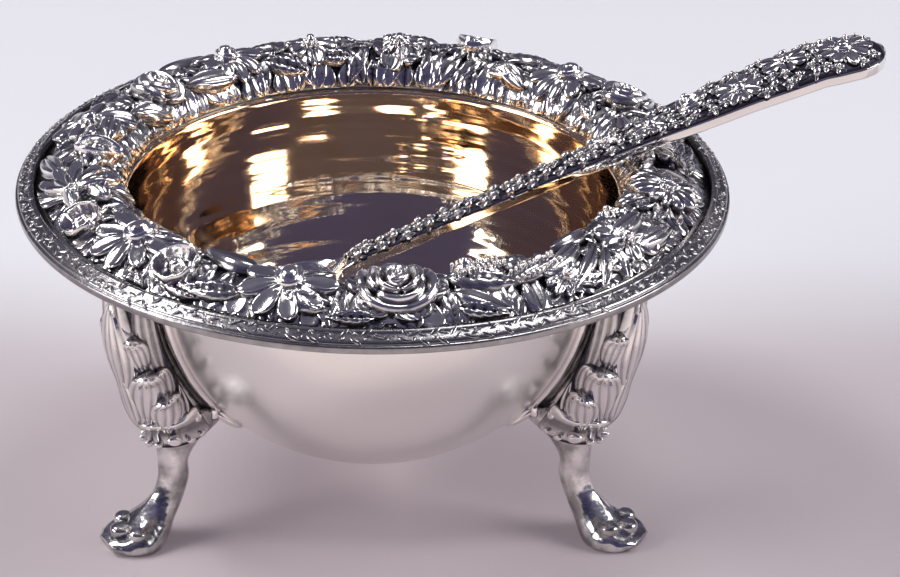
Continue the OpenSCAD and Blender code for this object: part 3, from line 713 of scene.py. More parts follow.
class OBJECT_OT_salt_band(bpy.types.Operator):
    """Builds the edge band with its row of engraved leaves"""
    bl_idname = "object.salt_band"
    bl_label = "Edge band"

    def execute(self, context):
        finish = chased_silver(context.scene.salt_finishes)
        rim, low, high = BAND_HI.x, BAND_LO.z, BAND_HI.z
        inner, hook, rows, turns = rim - BAND_W, 0.4 * MM, 44, 480
        top = smooth_line([(inner + out * MM, high - down * MM) for out, down in BAND_TOP]
                          + [(rim - back * MM, high - down * MM) for back, down in BAND_LIP]
                          + [(rim - back * MM, low + up * MM) for back, up in BAND_FOOT], rows)
        under = [(BOWL_HI.x - hook, low), (BOWL_HI.x - hook, high - 1.9 * MM),
                 (BOWL_HI.x, high - 1.75 * MM), (BOWL_HI.x, BOWL_HI.z + 0.02 * MM),
                 (inner, BOWL_HI.z - 0.1 * MM)]
        body = ring_loft(turned(np.concatenate([top, under]), turns))
        skin = RingSkin(*top.T)
        middle = skin.across(inner + 1.1 * MM)
        count, tall, bead = 210, 0.2 * MM, 0.26 * MM
        pitch = 2 * np.pi * skin.crest_r / count
        chance = np.random.default_rng(BAND_SEED)
        leaves, beads = [], []
        for k in range(count):
            for reach, wide, way in BAND_LEAVES:
                turn = math.radians((way if k % 2 else -way) + chance.uniform(-25, 25))
                x, y = (k + chance.uniform(-0.3, 0.3)) * pitch, middle + chance.uniform(-0.2, 0.2) * MM
                leaves.append((x, y, -0.02 * MM, turn, 0, pitch * reach, wide * MM, tall))
            y = middle + chance.choice((-0.4, 0.36)) * MM
            beads.append(((k + 0.5) * pitch, y, 0, 0, 0, bead, bead, tall))
        parts = relief_parts([("small", leaves), ("pearl", beads)], finish, skin, tall * 1.1, -0.2 * tall,
                             variation=0.2, seed=11)
        make_piece("edge_moulding", [(*body, np.full(len(body[0]), 0.3)), *parts], finish, BODY_CELLAR,
                   ["edge_band"])
        return {"FINISHED"}


# Legs: stations down the leg, as the bowl's neck height, stem and foot reach give them.
# Knee: back height, front height, front radius and half width
KNEE_SHARES = [(1, 1, 0.91, 0.74), (0.9, 0.885, 0.91, 0.7), (0.76, 0.735, 0.725, 0.68),
               (0.62, 0.59, 0.35, 0.62), (0.5, 0.465, 0.055, 0.56), (0.385, 0.37, -0.11, 0.5)]
# Stem and pad: back radius and height, front radius and height, half width
STEM_SHARES = [(-1.6, 0.322, -0.224, 0.31, 0.48), (-1.2, 0.262, -0.28, 0.262, 0.46),
               (-1.2, 0.2, -0.28, 0.21, 0.46), (-0.98, 0.13, -0.12, 0.158, 0.48)]
PAD_SHARES = [(-0.405, 0.062, 0.133, 0.122, 0.28), (-0.156, -0.012, 0.381, 0.094, 0.42),
              (0.104, -0.03, 0.595, 0.072, 0.5), (0.363, -0.028, 0.769, 0.058, 0.48),
              (0.653, -0.016, 0.896, 0.046, 0.42), (0.942, 0.004, 1, 0.034, 0.26)]
SWELL_SHARES = [(0,), (0.05,), (0.6,), (1,), (0.8,), (0.1,), (0,)]
# A leg's flanks, over which its cover is thinner: their first and last turn from the front, and the turn that
# it takes to thin, in radians, with the share by which it thins
FLANK, BEHIND, FLANK_FADE, FLANK_THIN = 1.15, 2.2, 0.8, 0.6
# Way round the knee for each radian, as a share of its half depth and half width together
GIRTH_SHARE = 0.625
# The knee's spray: its last station, how far it laps round, and how far round the front's swell reaches
SPRAY_END, SPRAY_LAP, SWELL_LAP = 5.7, math.radians(112), 0.85
SEAT_GAP = 0.08 * MM


class LegShape:
    """A leg along +X: points on its sections, and the ground of the leaves over its knee."""

    def __init__(self, legs, bowl):
        self.neck_z, self.neck_r = bowl.neck_z, bowl.mouth_r + bowl.sheet / 2
        self.deep, self.climb, self.swell = bowl.neck_z - BOWL_LO.z, bowl.flange_climb, legs.swell
        rows = []
        for back, front, out, half in KNEE_SHARES:
            front_r = self.neck_r + out * legs.stem_d
            back_z = self.under(self.neck_r) if back == 1 else back * self.neck_z
            front_z = self.under(front_r) if front == 1 else front * self.neck_z
            rows.append((self.wall(back_z) + SEAT_GAP, back_z, front_r, front_z, half * legs.stem_d))
        for shares, unit, wide in ((STEM_SHARES, legs.stem_d, legs.stem_d),
                                   (PAD_SHARES, legs.foot_reach, legs.pad_w)):
            rows += [(self.neck_r + back_r * unit, back_z * self.neck_z, self.neck_r + front_r * unit,
                      front_z * self.neck_z, half * wide)
                     for back_r, back_z, front_r, front_z, half in shares]
        self.stations = np.array(rows)
        steps = 200
        self.place = np.linspace(0, SPRAY_END, steps)
        self.way = way_along(self.points(self.place, np.zeros(steps), np.zeros(steps)))

    def under(self, r):
        """Height of the flange's underside at a radius, less the gap."""
        return self.neck_z + max(0, r - self.neck_r) * self.climb - SEAT_GAP

    def wall(self, z):
        """Outside radius of the bowl at a height."""
        drop = (self.neck_z - np.minimum(z, self.neck_z)) / self.deep
        return self.neck_r * np.sqrt(np.maximum(0, 1 - drop ** 2))

    def points(self, place, a, excess):
        """Points of the leg's sections, out from their middles by the sections' half sizes plus an excess."""
        s = smooth_at(self.stations, place)
        s[..., 0] = np.maximum(s[..., 0], self.wall(s[..., 1]) + SEAT_GAP)
        middle, arm = (s[..., 0:2] + s[..., 2:4]) / 2, (s[..., 2:4] - s[..., 0:2]) / 2
        reach = np.linalg.norm(arm, axis=-1)
        flank = np.clip((np.abs(a) - FLANK) / FLANK_FADE, 0, 1) * (np.abs(a) < BEHIND)
        excess = excess * (1 - FLANK_THIN * flank)
        out = middle + arm * ((reach + excess) / reach * np.cos(a))[..., None]
        return np.stack([out[..., 0], (s[..., 4] + excess) * np.sin(a), np.maximum(0, out[..., 1])], -1)

    def over_knee(self, place, a, h):
        """Points over the knee, which swells out in front."""
        swell = smooth_at(SWELL_SHARES, np.clip(place, 0, len(SWELL_SHARES) - 1.001))[..., 0]
        return self.points(place, a, h + self.swell * np.maximum(swell, 0) * np.exp(-(a / SWELL_LAP) ** 2))

    def __call__(self, x, y, h):
        """Ground over the knee: x is the way round from the front, y the way down, h the height above."""
        place = np.interp(y, self.way, self.place)
        return self.over_knee(place, np.clip(x / self.girth(place), -SPRAY_LAP, SPRAY_LAP), h)

    def girth(self, place):
        """Way round the knee for each radian of its section."""
        s = smooth_at(self.stations, place)
        return GIRTH_SHARE * (np.hypot(s[..., 2] - s[..., 0], s[..., 3] - s[..., 1]) / 2 + s[..., 4])

    def way_round(self, degrees, y):
        """Way round the knee to a turn from its front, at a way down in mm."""
        return math.radians(degrees) * float(self.girth(np.interp(y * MM, self.way, self.place)))


def set_round(context, prefix, suffix, parts, finish, node_prefix):
    """Makes a piece at each leg from parts modelled along +X, each leg's turn counted from the front."""
    spread = context.scene.salt_legs.spread
    for name, turn in (("front_left", -spread), ("front_right", spread), ("back", math.pi)):
        c, s = math.cos(turn - math.pi / 2), math.sin(turn - math.pi / 2)
        made = [(np.stack([p[:, 0] * c - p[:, 1] * s, p[:, 0] * s + p[:, 1] * c, p[:, 2]], 1), *rest)
                for p, *rest in parts]
        make_piece(prefix + name + suffix, made, finish, BODY_CELLAR, [node_prefix + name])
    return {"FINISHED"}


# Bosses in the pad's hollow: stations before the foot's tip, turn from the front and width in mm
PAD_BOSSES = [(3.3, -0.62, 2.2), (2.3, 0.0, 2.4), (3.1, 0.66, 2.2)]


class OBJECT_OT_salt_legs(bpy.types.Operator):
    """Builds the three legs, each a stem on a dished foot with bosses"""
    bl_idname = "object.salt_legs"
    bl_label = "Legs"

    def execute(self, context):
        sizes = context.scene.salt_legs
        shape = LegShape(sizes, context.scene.salt_bowl)
        last, rows, sides = len(shape.stations) - 1, 130, 48
        place, a = np.meshgrid(np.linspace(0, last, rows), np.linspace(0, 2 * np.pi, sides, endpoint=False),
                               indexing="ij")
        far = (a + np.pi) % (2 * np.pi) - np.pi
        # A hollow in the pad's top, with a raised rim, and a ridge down the front of the stem
        pad = np.exp(-((place - last + 2.6) / 1.35) ** 2)
        hollow = -sizes.dish * pad * np.exp(-(far / 0.62) ** 4)
        rim = 0.16 * MM * pad * np.exp(-((np.abs(far) - 1.0) / 0.26) ** 2)
        stem_middle, stem_reach = 8, 2.2
        stem = 0.22 * MM * np.exp(-((place - stem_middle) / stem_reach) ** 4) * np.exp(-(far / 0.3) ** 2)
        parts = [loft(shape.points(place, a, hollow + rim + stem))]
        boss, quads, _ = dome([(0, 1), (0.3, 0.94), (0.46, 0.6), (0.5, 0.2), (0.48, -0.6)], 20)
        for before, side, size in PAD_BOSSES:
            middle = shape.points(np.array([last - before]), np.array([side]),
                                  np.array([-sizes.dish * 0.7]))[0]
            parts.append((boss * size * MM * (1, 1, 0.34) + middle, quads))
        # The legs' silver is painted darker than the rest, as painted shade
        finish = plain_silver(context.scene.salt_finishes, "cast_silver_painted_shade")
        return set_round(context, "leg_", "_cast", parts, finish, "leg_")


# Leaves over the knee: turn round it in degrees from its front, way down of the root in mm, direction, lean,
# length, width, height share, kind. Direction 90 points down and -90 up. Those off the middle stand on both
# flanks.
KNEE_LEAVES = [
    (0, 5.2, 90, 0.0, 11.6, 5.0, 1.1, "ribbed"), (0, 22.4, -90, 0.02, 8.6, 3.6, 0.85, "ribbed"),
    (0, 0.8, 90, 0.0, 8.5, 3.4, 0.55, "ribbed"),
    (30, 15.6, -93, 0.02, 13.6, 2.2, 0.85, "lance"), (72, 16.4, -90, 0.0, 14.8, 3.6, 0.5, "strap"),
    (48, 14.2, -92, 0.1, 5.6, 2.4, 1.0, "tulip"), (24, 21.6, -82, 0.07, 8.4, 3.3, 1.2, "tulip"),
    (62, 19.8, -86, 0.04, 6.2, 2.9, 0.8, "tulip"), (50, 22.8, -86, 0.1, 5.8, 3.4, 1.35, "tulip"),
    (84, 21.6, -88, 0.02, 4.6, 1.6, 0.7, "lance")]
# Beads on the knee: turn round it, way down and width
KNEE_BEADS = [(57, 23.4, 1.3), (14, 24.0, 0.8), (33, 24.0, 0.75), (80, 24.0, 0.8), (98, 23.8, 0.8),
              (70, 20.4, 0.8), (104, 21.8, 1.0), (36, 21.2, 0.7)]
# The collar's cup: way down in mm and height over the leg in mm, with its tone
COLLAR = [(20.5, 0.5, 0.1), (20.75, 1.35, 0.35), (20.95, 1.8, 1.0), (21.2, 1.92, 1.0), (21.5, 1.8, 0.8),
          (22.0, 1.45, 0.3), (22.7, 1.15, 0.3), (23.4, 0.95, 0.5), (23.9, 0.95, 0.85), (24.3, 0.75, 0.5),
          (24.6, 0.4, 0.2)]


class OBJECT_OT_salt_knees(bpy.types.Operator):
    """Builds the spray of leaves over each knee"""
    bl_idname = "object.salt_knees"
    bl_label = "Knee sprays"

    def execute(self, context):
        sizes = context.scene.salt_legs
        shape = LegShape(sizes, context.scene.salt_bowl)
        finish = chased_silver(context.scene.salt_finishes)
        lists = []
        for around, y, turn, lean, long, wide, high, kind in KNEE_LEAVES:
            x = shape.way_round(around, y)
            for side in ((1, -1) if around else (1,)):
                way = math.radians(turn if side > 0 else 180 - turn)
                lists.append((kind, [(side * x, y * MM, sizes.mantle * 0.7, way, lean, long * MM, wide * MM,
                                      high * sizes.relief)]))
        for around, y, wide in KNEE_BEADS:
            x, w = shape.way_round(around, y), wide * MM
            lists.append(("bead", [(side * x, y * MM, sizes.mantle * 1.5, 0, 0, w, w, 0.7 * w)
                                   for side in (1, -1)]))
        relief = relief_parts(lists, finish, shape, sizes.mantle + sizes.relief, 0.2 * sizes.mantle,
                              variation=0.03, seed=5)
        parts = [self.mantle(shape, sizes), *relief, self.collar(shape), *self.edges(shape, sizes),
                 *self.side_leaves(shape)]
        return set_round(context, "knee_leaves_", "", parts, finish, "knee_spray_")

    def mantle(self, shape, sizes):
        """The ground under the knee's leaves."""
        steps, columns = 70, 41
        place, a = np.meshgrid(np.linspace(0, SPRAY_END, steps), np.linspace(-SPRAY_LAP, SPRAY_LAP, columns),
                               indexing="ij")
        fade = np.clip((SPRAY_END - place) / 1.1, 0.12, 1) ** 0.5 * (0.4 + 0.6 * np.clip(place / 1.3, 0, 1))
        top = shape.over_knee(place, a, sizes.mantle * fade)
        low = shape.points(place[:, ::4], a[:, ::-4], np.full((steps, columns // 4 + 1), 0.05 * MM))
        points, quads = loft(np.concatenate([top, low], 1))
        return points, quads, np.full(len(points), 0.1)

    def collar(self, shape):
        """The scalloped cup at the foot of the knee."""
        down, high, tone = np.array(COLLAR).T
        place = np.interp(down * MM, shape.way, shape.place)
        below = place[::-3]
        rings, steps = [], 73
        for a in np.linspace(-SPRAY_LAP, SPRAY_LAP, steps):
            lobe = 0.93 + 0.12 * abs(math.cos(2.3 * a))
            top = shape.points(place, np.full(len(place), a), high * lobe * MM)
            low = shape.points(below, np.full(len(below), a), np.full(len(below), 0.1 * MM))
            rings.append(np.concatenate([top, low]))
        tones = np.tile(np.concatenate([tone, np.zeros(len(below))]), steps)
        return (*loft(np.array(rings)), np.concatenate([tones, (0, 0)]))

    def edges(self, shape, sizes):
        """The smooth rounded edge of the spray on each flank, down along the bowl."""
        steps, sides, first, last, around = 60, 14, 0.1, 4.55, math.radians(96)
        flank = shape.points(np.linspace(first, last, steps), np.full(steps, around),
                             np.full(steps, 0.5 * sizes.mantle))
        high = np.minimum(flank[:, 2], shape.neck_z - 0.5 * MM)
        thick = 0.45 * MM * np.minimum(1, 4 * np.sin(np.pi * np.linspace(0.02, 0.98, steps))) ** 0.5
        a = np.linspace(0, 2 * np.pi, sides, endpoint=False)
        out = shape.wall(high) + 0.75 * thick
        radial = out[:, None] + thick[:, None] * np.cos(a)
        found = []
        for side in (1, -1):
            turn = side * (flank[:, 1] + 0.05 * MM) / out
            across = turn[:, None] + thick[:, None] * np.sin(a) / out[:, None]
            points, quads = loft(np.stack([radial * np.cos(across), radial * np.sin(across),
                                           high[:, None] + 0 * a], 2))
            found.append((points, quads, np.full(len(points), 0.8)))
        return found

    def side_leaves(self, shape):
        """The small bud that leaves the collar on each flank and lies along the bowl, with a bead on it."""
        points, quads, tone = SHAPES["tongue"]()
        bead, bead_quads, bead_tone = SHAPES["bead"]()
        bowl_r, high = shape.wall(14 * MM), 15.3 * MM
        u, v, w = points.T
        # Heights, distances from the bowl and ways round in mm
        z = (15.0 - 1.5 * u ** 1.2 + 2.4 * v) * MM
        r = shape.wall(z) + (0.3 + 1.7 * w * (1 - 0.6 * u)) * MM
        found = []
        for side in (1, -1):
            a = side * (0.9 + 2.5 * u) * MM / bowl_r
            found.append((*outward(np.stack([r * np.cos(a), r * np.sin(a), z], 1), quads),
                          np.full(len(tone), 0.75)))
            turn = side * 2.4 * MM / bowl_r
            way_out = np.array([math.cos(turn), math.sin(turn), 0])
            middle = (shape.wall(high) + 1.1 * MM) * way_out + (0, 0, high)
            found.append((bead * 0.9 * MM + middle, bead_quads, bead_tone))
        return found


# The spoon: bend over the straight line and half width along it, as shares
BEND_SHARES = [(0, 0.018), (0.06, 0.006), (0.13, 0.001), (0.22, 0.006), (0.32, 0.003), (0.45, 0), (0.66, 0),
               (0.8, -0.004), (0.9, -0.012), (1, -0.036)]
WIDTH_SHARES = [(0, 0.2), (0.24, 0.3), (0.34, 0.32), (0.45, 0.36), (0.56, 0.48), (0.66, 0.66), (0.76, 0.84),
                (0.86, 0.96), (0.92, 1), (0.955, 0.97), (0.975, 0.86), (0.99, 0.62), (1, 0.3)]
SCOOP_SHARE = 0.235
# Half of the spoon's section: way across and height as shares, with flat sides
SIDE_SHARES = [(0.9, 1), (0.96, 0.985), (0.985, 0.93), (0.996, 0.8), (1, 0.62), (1, 0.3)]


class SpoonShape:
    """The spoon along +X before it is turned: heights, widths, and the ground of the handle's flowers."""

    def __init__(self, sizes):
        self.sizes = sizes
        points = np.array([v.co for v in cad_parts["salt_spoon"].data.vertices])
        self.c, self.s = math.cos(sizes.turn), math.sin(sizes.turn)
        along = points[:, 0] * self.c + points[:, 1] * self.s
        self.start = along.min()
        self.base = self.lowest_line(along, points[:, 2])

    def lowest_line(self, along, height):
        """Height of the spoon's straight line at its start, from the lowest points of the handle's middle."""
        share = (along - self.start) / self.sizes.reach
        middle = (share > 0.45) & (share < 0.66)
        return (height[middle] - (along[middle] - self.start) * self.sizes.slope).min()

    def under(self, share):
        """Height of the underside."""
        bend = np.interp(share, *np.array(BEND_SHARES).T)
        return self.base + self.sizes.reach * (share * self.sizes.slope + bend)

    def half(self, share):
        """Half width, of the spoon's bowl and then of the handle."""
        handle = self.sizes.handle_w / 2 * np.interp(share, *np.array(WIDTH_SHARES).T)
        way = np.clip(share / SCOOP_SHARE, 0, 1)
        scoop = self.sizes.scoop_w / 2 * np.maximum(np.sin(np.pi * way ** 0.86), 0) ** 0.62
        neck = self.sizes.handle_w / 2 * np.interp(SCOOP_SHARE, *np.array(WIDTH_SHARES).T)
        return np.where(share < SCOOP_SHARE, np.maximum(scoop, np.where(way > 0.5, neck, neck / 2)), handle)

    def sink(self, share, wide):
        """Depth of the hollow of the spoon's bowl."""
        way = np.clip(share / SCOOP_SHARE, 0, 1)
        return self.sizes.scoop_deep * np.maximum(np.sin(np.pi * way), 0) ** 0.8 * (1 - wide ** 2)

    def thick(self, share):
        """Thickness, of the wall of the spoon's bowl and then of the handle."""
        blend = np.clip((share / SCOOP_SHARE - 0.92) / 0.16, 0, 1)
        return self.sizes.scoop_t + (self.sizes.handle_t - self.sizes.scoop_t) * blend

    def placed(self, x, y, z):
        """Points of the spoon's own frame in the cellar's frame."""
        y = y - self.sizes.aside
        return np.stack([x * self.c - y * self.s, x * self.s + y * self.c, z], -1)

    def __call__(self, x, y, h):
        """Ground on the handle: x is the way along from its start, y across, h the height above."""
        share = x / self.sizes.reach
        top = self.under(share) + self.thick(share)
        crown = self.crown(share) * (1 - np.clip(y / np.maximum(self.half(share), 1e-6), -1, 1) ** 2)
        return self.placed(self.start + x, y, top + crown + h)

    def crown(self, share):
        """Swell of the handle's top, most under the large flowers at its end."""
        return (0.22 + 0.6 * np.interp(share, (0.7, 0.86, 0.97, 1), (0, 1, 1, 0.3))) * MM

    def body(self, steps=260, scoop_steps=90):
        """The whole spoon without its ornament."""
        share = np.concatenate([np.linspace(0, SCOOP_SHARE, scoop_steps),
                                np.linspace(SCOOP_SHARE, 1, steps - scoop_steps)[1:]])
        flat = np.linspace(-0.8, 0.8, 13)
        corner, rise = np.array(SIDE_SHARES).T
        wide = np.concatenate([-corner[::-1], flat, corner])
        tall = np.concatenate([rise[::-1], np.ones(len(flat)), rise])
        s, w = np.meshgrid(share, wide, indexing="ij")
        x, y, half_t = self.start + s * self.sizes.reach, w * self.half(s), self.thick(s) / 2
        middle = self.under(s) + half_t - self.sink(s, w)
        crown = self.crown(s) * (1 - w ** 2) * (s > SCOOP_SHARE)
        top = self.placed(x, y, middle + half_t * tall + crown)
        low = self.placed(x, y, middle - half_t * tall)[:, ::-1]
        return loft(np.concatenate([top, low], 1))

    def ground(self, steps=160, columns=13):
        """The dark sheet under the handle's flowers."""
        along = np.linspace(SCOOP_SHARE * 1.04, 0.994, steps)[:, None] * self.sizes.reach
        across = 0.97 * self.half(along / self.sizes.reach) * np.linspace(-1, 1, columns)
        top, low = (np.stack([self(np.full(columns, x[0]), y, np.full(columns, h))
                              for x, y in zip(along, across)]) for h in (0.06 * MM, -0.25 * MM))
        points, quads = loft(np.concatenate([top, low[:, ::-1]], 1))
        return points, quads, np.zeros(len(points))


# Large flowers on the handle: way along from the spoon's start in mm, way across, kind and radius in mm
HANDLE_FLOWERS = [(77.2, 0, "daisy", 3.4), (70.6, 0.9, "five", 2.8), (64.6, -0.9, "daisy", 2.6),
                  (59.4, 0.7, "rosebud", 1.8), (54.4, -0.4, "daisy", 1.9), (49.4, 0.3, "five", 1.4)]
HANDLE_SPIN = 0.4
# Rows of small florets along the handle in mm, florets across it for each mm of its half width, and the share
# of a large flower's radius that they keep clear
FLORET_ROWS = np.arange(20.5, 80.6, 1.45)
FLORETS_ACROSS, CLEAR = 1.15, 0.86
FLORET_SEED = 5


def handle_florets(shape, sizes):
    """Small florets, leaves and beads that fill the handle between its large flowers."""
    lists, chance, tall = [], np.random.default_rng(FLORET_SEED), sizes.relief
    for k, at in enumerate(FLORET_ROWS):
        half = float(shape.half(np.array([at * MM / sizes.reach]))[0]) / MM
        count = max(1, round(FLORETS_ACROSS * half))
        for j in range(count):
            across = half * 0.9 * ((2 * j + 1) / count - 1) + (0.3 if k % 2 else -0.3) * (count > 1)
            x, y = at + chance.uniform(-0.25, 0.25), across + chance.uniform(-0.15, 0.15)
            if any(math.hypot(x - at_x, y - at_y) < CLEAR * r for at_x, at_y, kind, r in HANDLE_FLOWERS):
                continue
            x, y, r = x * MM, y * MM, chance.uniform(0.85, 1.1) * MM
            bead, start = 0.5 * MM, chance.uniform(0, 3)
            if (j + k) % 3 == 0:
                lists += [("bead", [(x, y, 0.05 * MM, 0, 0, r, r * 0.9, 0.75 * tall)]),
                          ring_of(x, y, 4, start, "small", (1.1 * r, 0.6 * r, 0.5 * tall))]
            else:
                lists += [ring_of(x, y, 5, start, "small", (r, 0.75 * r, 0.62 * tall), 0.1 * MM, 0.1),
                          ("bead", [(x, y, 0.3 * MM, 0, 0, bead, bead, 0.5 * tall)])]
    return lists


class OBJECT_OT_salt_spoon(bpy.types.Operator):
    """Builds the salt spoon with the relief on its handle"""
    bl_idname = "object.salt_spoon"
    bl_label = "Salt spoon"

    def execute(self, context):
        sizes, finishes = context.scene.salt_spoon, context.scene.salt_finishes
        shape, finish = SpoonShape(sizes), chased_silver(finishes)
        lists = []
        for at, aside, kind, r in HANDLE_FLOWERS:
            lists += flower_parts(kind, at * MM, aside * MM, r * MM, HANDLE_SPIN, sizes.relief)
        lists += handle_florets(shape, sizes)
        parts = relief_parts(lists, finish, shape, sizes.relief, -0.1 * sizes.relief, variation=0.08, seed=9)
        make_piece("spoon_body", [shape.body()], plain_silver(finishes, "polished_silver"), BODY_SPOON,
                   ["salt_spoon"])
        make_piece("spoon_ornament", [*parts, shape.ground()], finish, BODY_SPOON, ["salt_spoon"])
        return {"FINISHED"}


# Finishes

def new_material(name):
    """A node material with its tree and shader, which are None where it exists already."""
    found = bpy.data.materials.get(name)
    if found:
        return found, None, None
    material = bpy.data.materials.new(name)
    material.use_nodes = True
    return material, material.node_tree, material.node_tree.nodes["Principled BSDF"]


def noise(tree, scale, detail=3, stretch=None):
    """Noise on Object coordinates. scale is in features for each metre."""
    where = add(tree, "ShaderNodeTexCoord", out="Object")
    if stretch:
        where = add(tree, "ShaderNodeMapping", {"Scale": stretch, "Vector": where}, "Vector")
    return add(tree, "ShaderNodeTexNoise", {"Scale": scale, "Detail": detail, "Vector": where}, "Fac")


def ramp(tree, source, stops, interpolation="LINEAR"):
    """Colours or greys along a value."""
    node = tree.nodes.new("ShaderNodeValToRGB")
    node.color_ramp.interpolation = interpolation
    elements = node.color_ramp.elements
    while len(elements) < len(stops):
        elements.new(0.5)
    for element, (place, value) in zip(elements, stops):
        element.position = place
        element.color = (*value, 1) if hasattr(value, "__len__") else (value, value, value, 1)
    tree.links.new(source, node.inputs[0])
    return node.outputs["Color"]


def mixed(tree, share, first, second):
    """A colour socket blended towards a plain colour by a share."""
    return add(tree, "ShaderNodeMix", {"Factor": share, 6: first, 7: (*second, 1)}, 2, data_type="RGBA")


def bump(tree, shader, source, depth, strength=1.0):
    """Adds a bump to those that the shader has."""
    values = {"Distance": depth, "Strength": strength, "Height": source}
    for before in shader.inputs["Normal"].links:
        values["Normal"] = before.from_socket
    tree.links.new(add(tree, "ShaderNodeBump", values, "Normal"), shader.inputs["Normal"])


# Silver without relief: scale of its clouds, darkest share of its colour, least and most roughness, scale
# of its lumps and their depth, and share of metal
PLAIN_SILVERS = {"polished_silver": (90, 0.9, (0.05, 0.13), 260, 0.00002, 1.0),
                 "satin_silver": (90, 0.99, (0.25, 0.27), 260, 0.000003, 0.86),
                 # The legs' darkest share is low: their clouds are partly random tone and partly painted
                 # shade
                 "cast_silver_painted_shade": (420, 0.42, (0.12, 0.28), 480, 0.0004, 1.0)}


def plain_silver(finishes, name):
    """One of the silvers without relief, with soft clouds in its colour and a fine rub. On the legs the
    clouds are much darker, partly random tone and partly painted shade.
    """
    material, tree, shader = new_material(name)
    if tree:
        cloud_scale, shade, rough, lump_scale, lumps, metal = PLAIN_SILVERS[name]
        base = np.array(finishes.silver)
        clouds = ramp(tree, noise(tree, cloud_scale, 4), [(0.4, tuple(base * shade)), (0.66, tuple(base))])
        rub = ramp(tree, noise(tree, 1500, 2, (1, 1, 6)), [(0.3, rough[0]), (0.75, rough[1])])
        fill(tree, shader, {"Base Color": clouds, "Roughness": rub, "Metallic": metal})
        bump(tree, shader, noise(tree, lump_scale, 2), lumps, 0.5)
    return material


def chased_silver(finishes):
    """Silver with darkened recesses, from each point's height over its ground."""
    material, tree, shader = new_material("chased_silver")
    if tree:
        silver, recess = np.array(finishes.silver), np.array(finishes.recess)
        height = add(tree, "ShaderNodeAttribute", out="Fac", attribute_name="relief")
        level = add(tree, "ShaderNodeMath", {0: noise(tree, 700, 3), 1: 0.22, 2: height},
                    operation="MULTIPLY_ADD")
        stops = [(0.22, tuple(recess)), (0.5, tuple(0.5 * recess + 0.5 * silver)), (0.82, tuple(silver))]
        fill(tree, shader, {"Base Color": ramp(tree, level, stops), "Metallic": 1,
                            "Roughness": ramp(tree, level, [(0.1, 0.45), (0.4, 0.24), (0.8, 0.15)])})
        bump(tree, shader, noise(tree, 2000, 2), 0.00005, 0.45)
    return material


def gold_wash(finishes):
    """Gold with faint spun rings and a slow wave."""
    material, tree, shader = new_material("gold_wash")
    if tree:
        base = np.array(finishes.gilt)
        stops = [(0.35, tuple(base * (0.96, 0.9, 0.82))), (0.65, tuple(base))]
        spun = noise(tree, 30, 2, (1, 1, 60))
        fill(tree, shader, {"Base Color": ramp(tree, noise(tree, 60, 3), stops), "Metallic": 1,
                            "Roughness": ramp(tree, spun, [(0.3, 0.04), (0.7, 0.08)])})
        bump(tree, shader, noise(tree, 18, 2, (1, 1, 22)), 0.0002, 0.5)
        bump(tree, shader, noise(tree, 420, 1, (0, 0, 1)), 0.0003, 0.7)
    return material


def paper(finishes):
    """Pale paper, warmer in front and cooler at the back, with painted light in its colour: lighter at the
    back than round the feet, and a strip in front of the object painted bright as a pool of light.
    """
    material, tree, shader = new_material("paper")
    if tree:
        per_metre, on_axis = 2.2, 0.46
        where = add(tree, "ShaderNodeTexCoord", out="Object")
        depth = add(tree, "ShaderNodeSeparateXYZ", {0: where}, "Y")
        share = add(tree, "ShaderNodeMath", {0: depth, 1: per_metre, 2: on_axis}, operation="MULTIPLY_ADD")
        near = tuple(finishes.floor_near)
        # Painted light: the front strip is painted bright and the back lighter than round the feet, in place
        # of uneven light on the paper
        stops = [(0.362, tuple(finishes.floor_front_painted_light)), (0.383, near), (0.50, near),
                 (0.60, tuple(finishes.floor_far))]
        fill(tree, shader, {"Base Color": ramp(tree, share, stops, "EASE"), "Roughness": 0.9,
                            "Specular IOR Level": 0.15})
        bump(tree, shader, noise(tree, 900, 3), 0.0001, 0.15)
    return material


# The stage

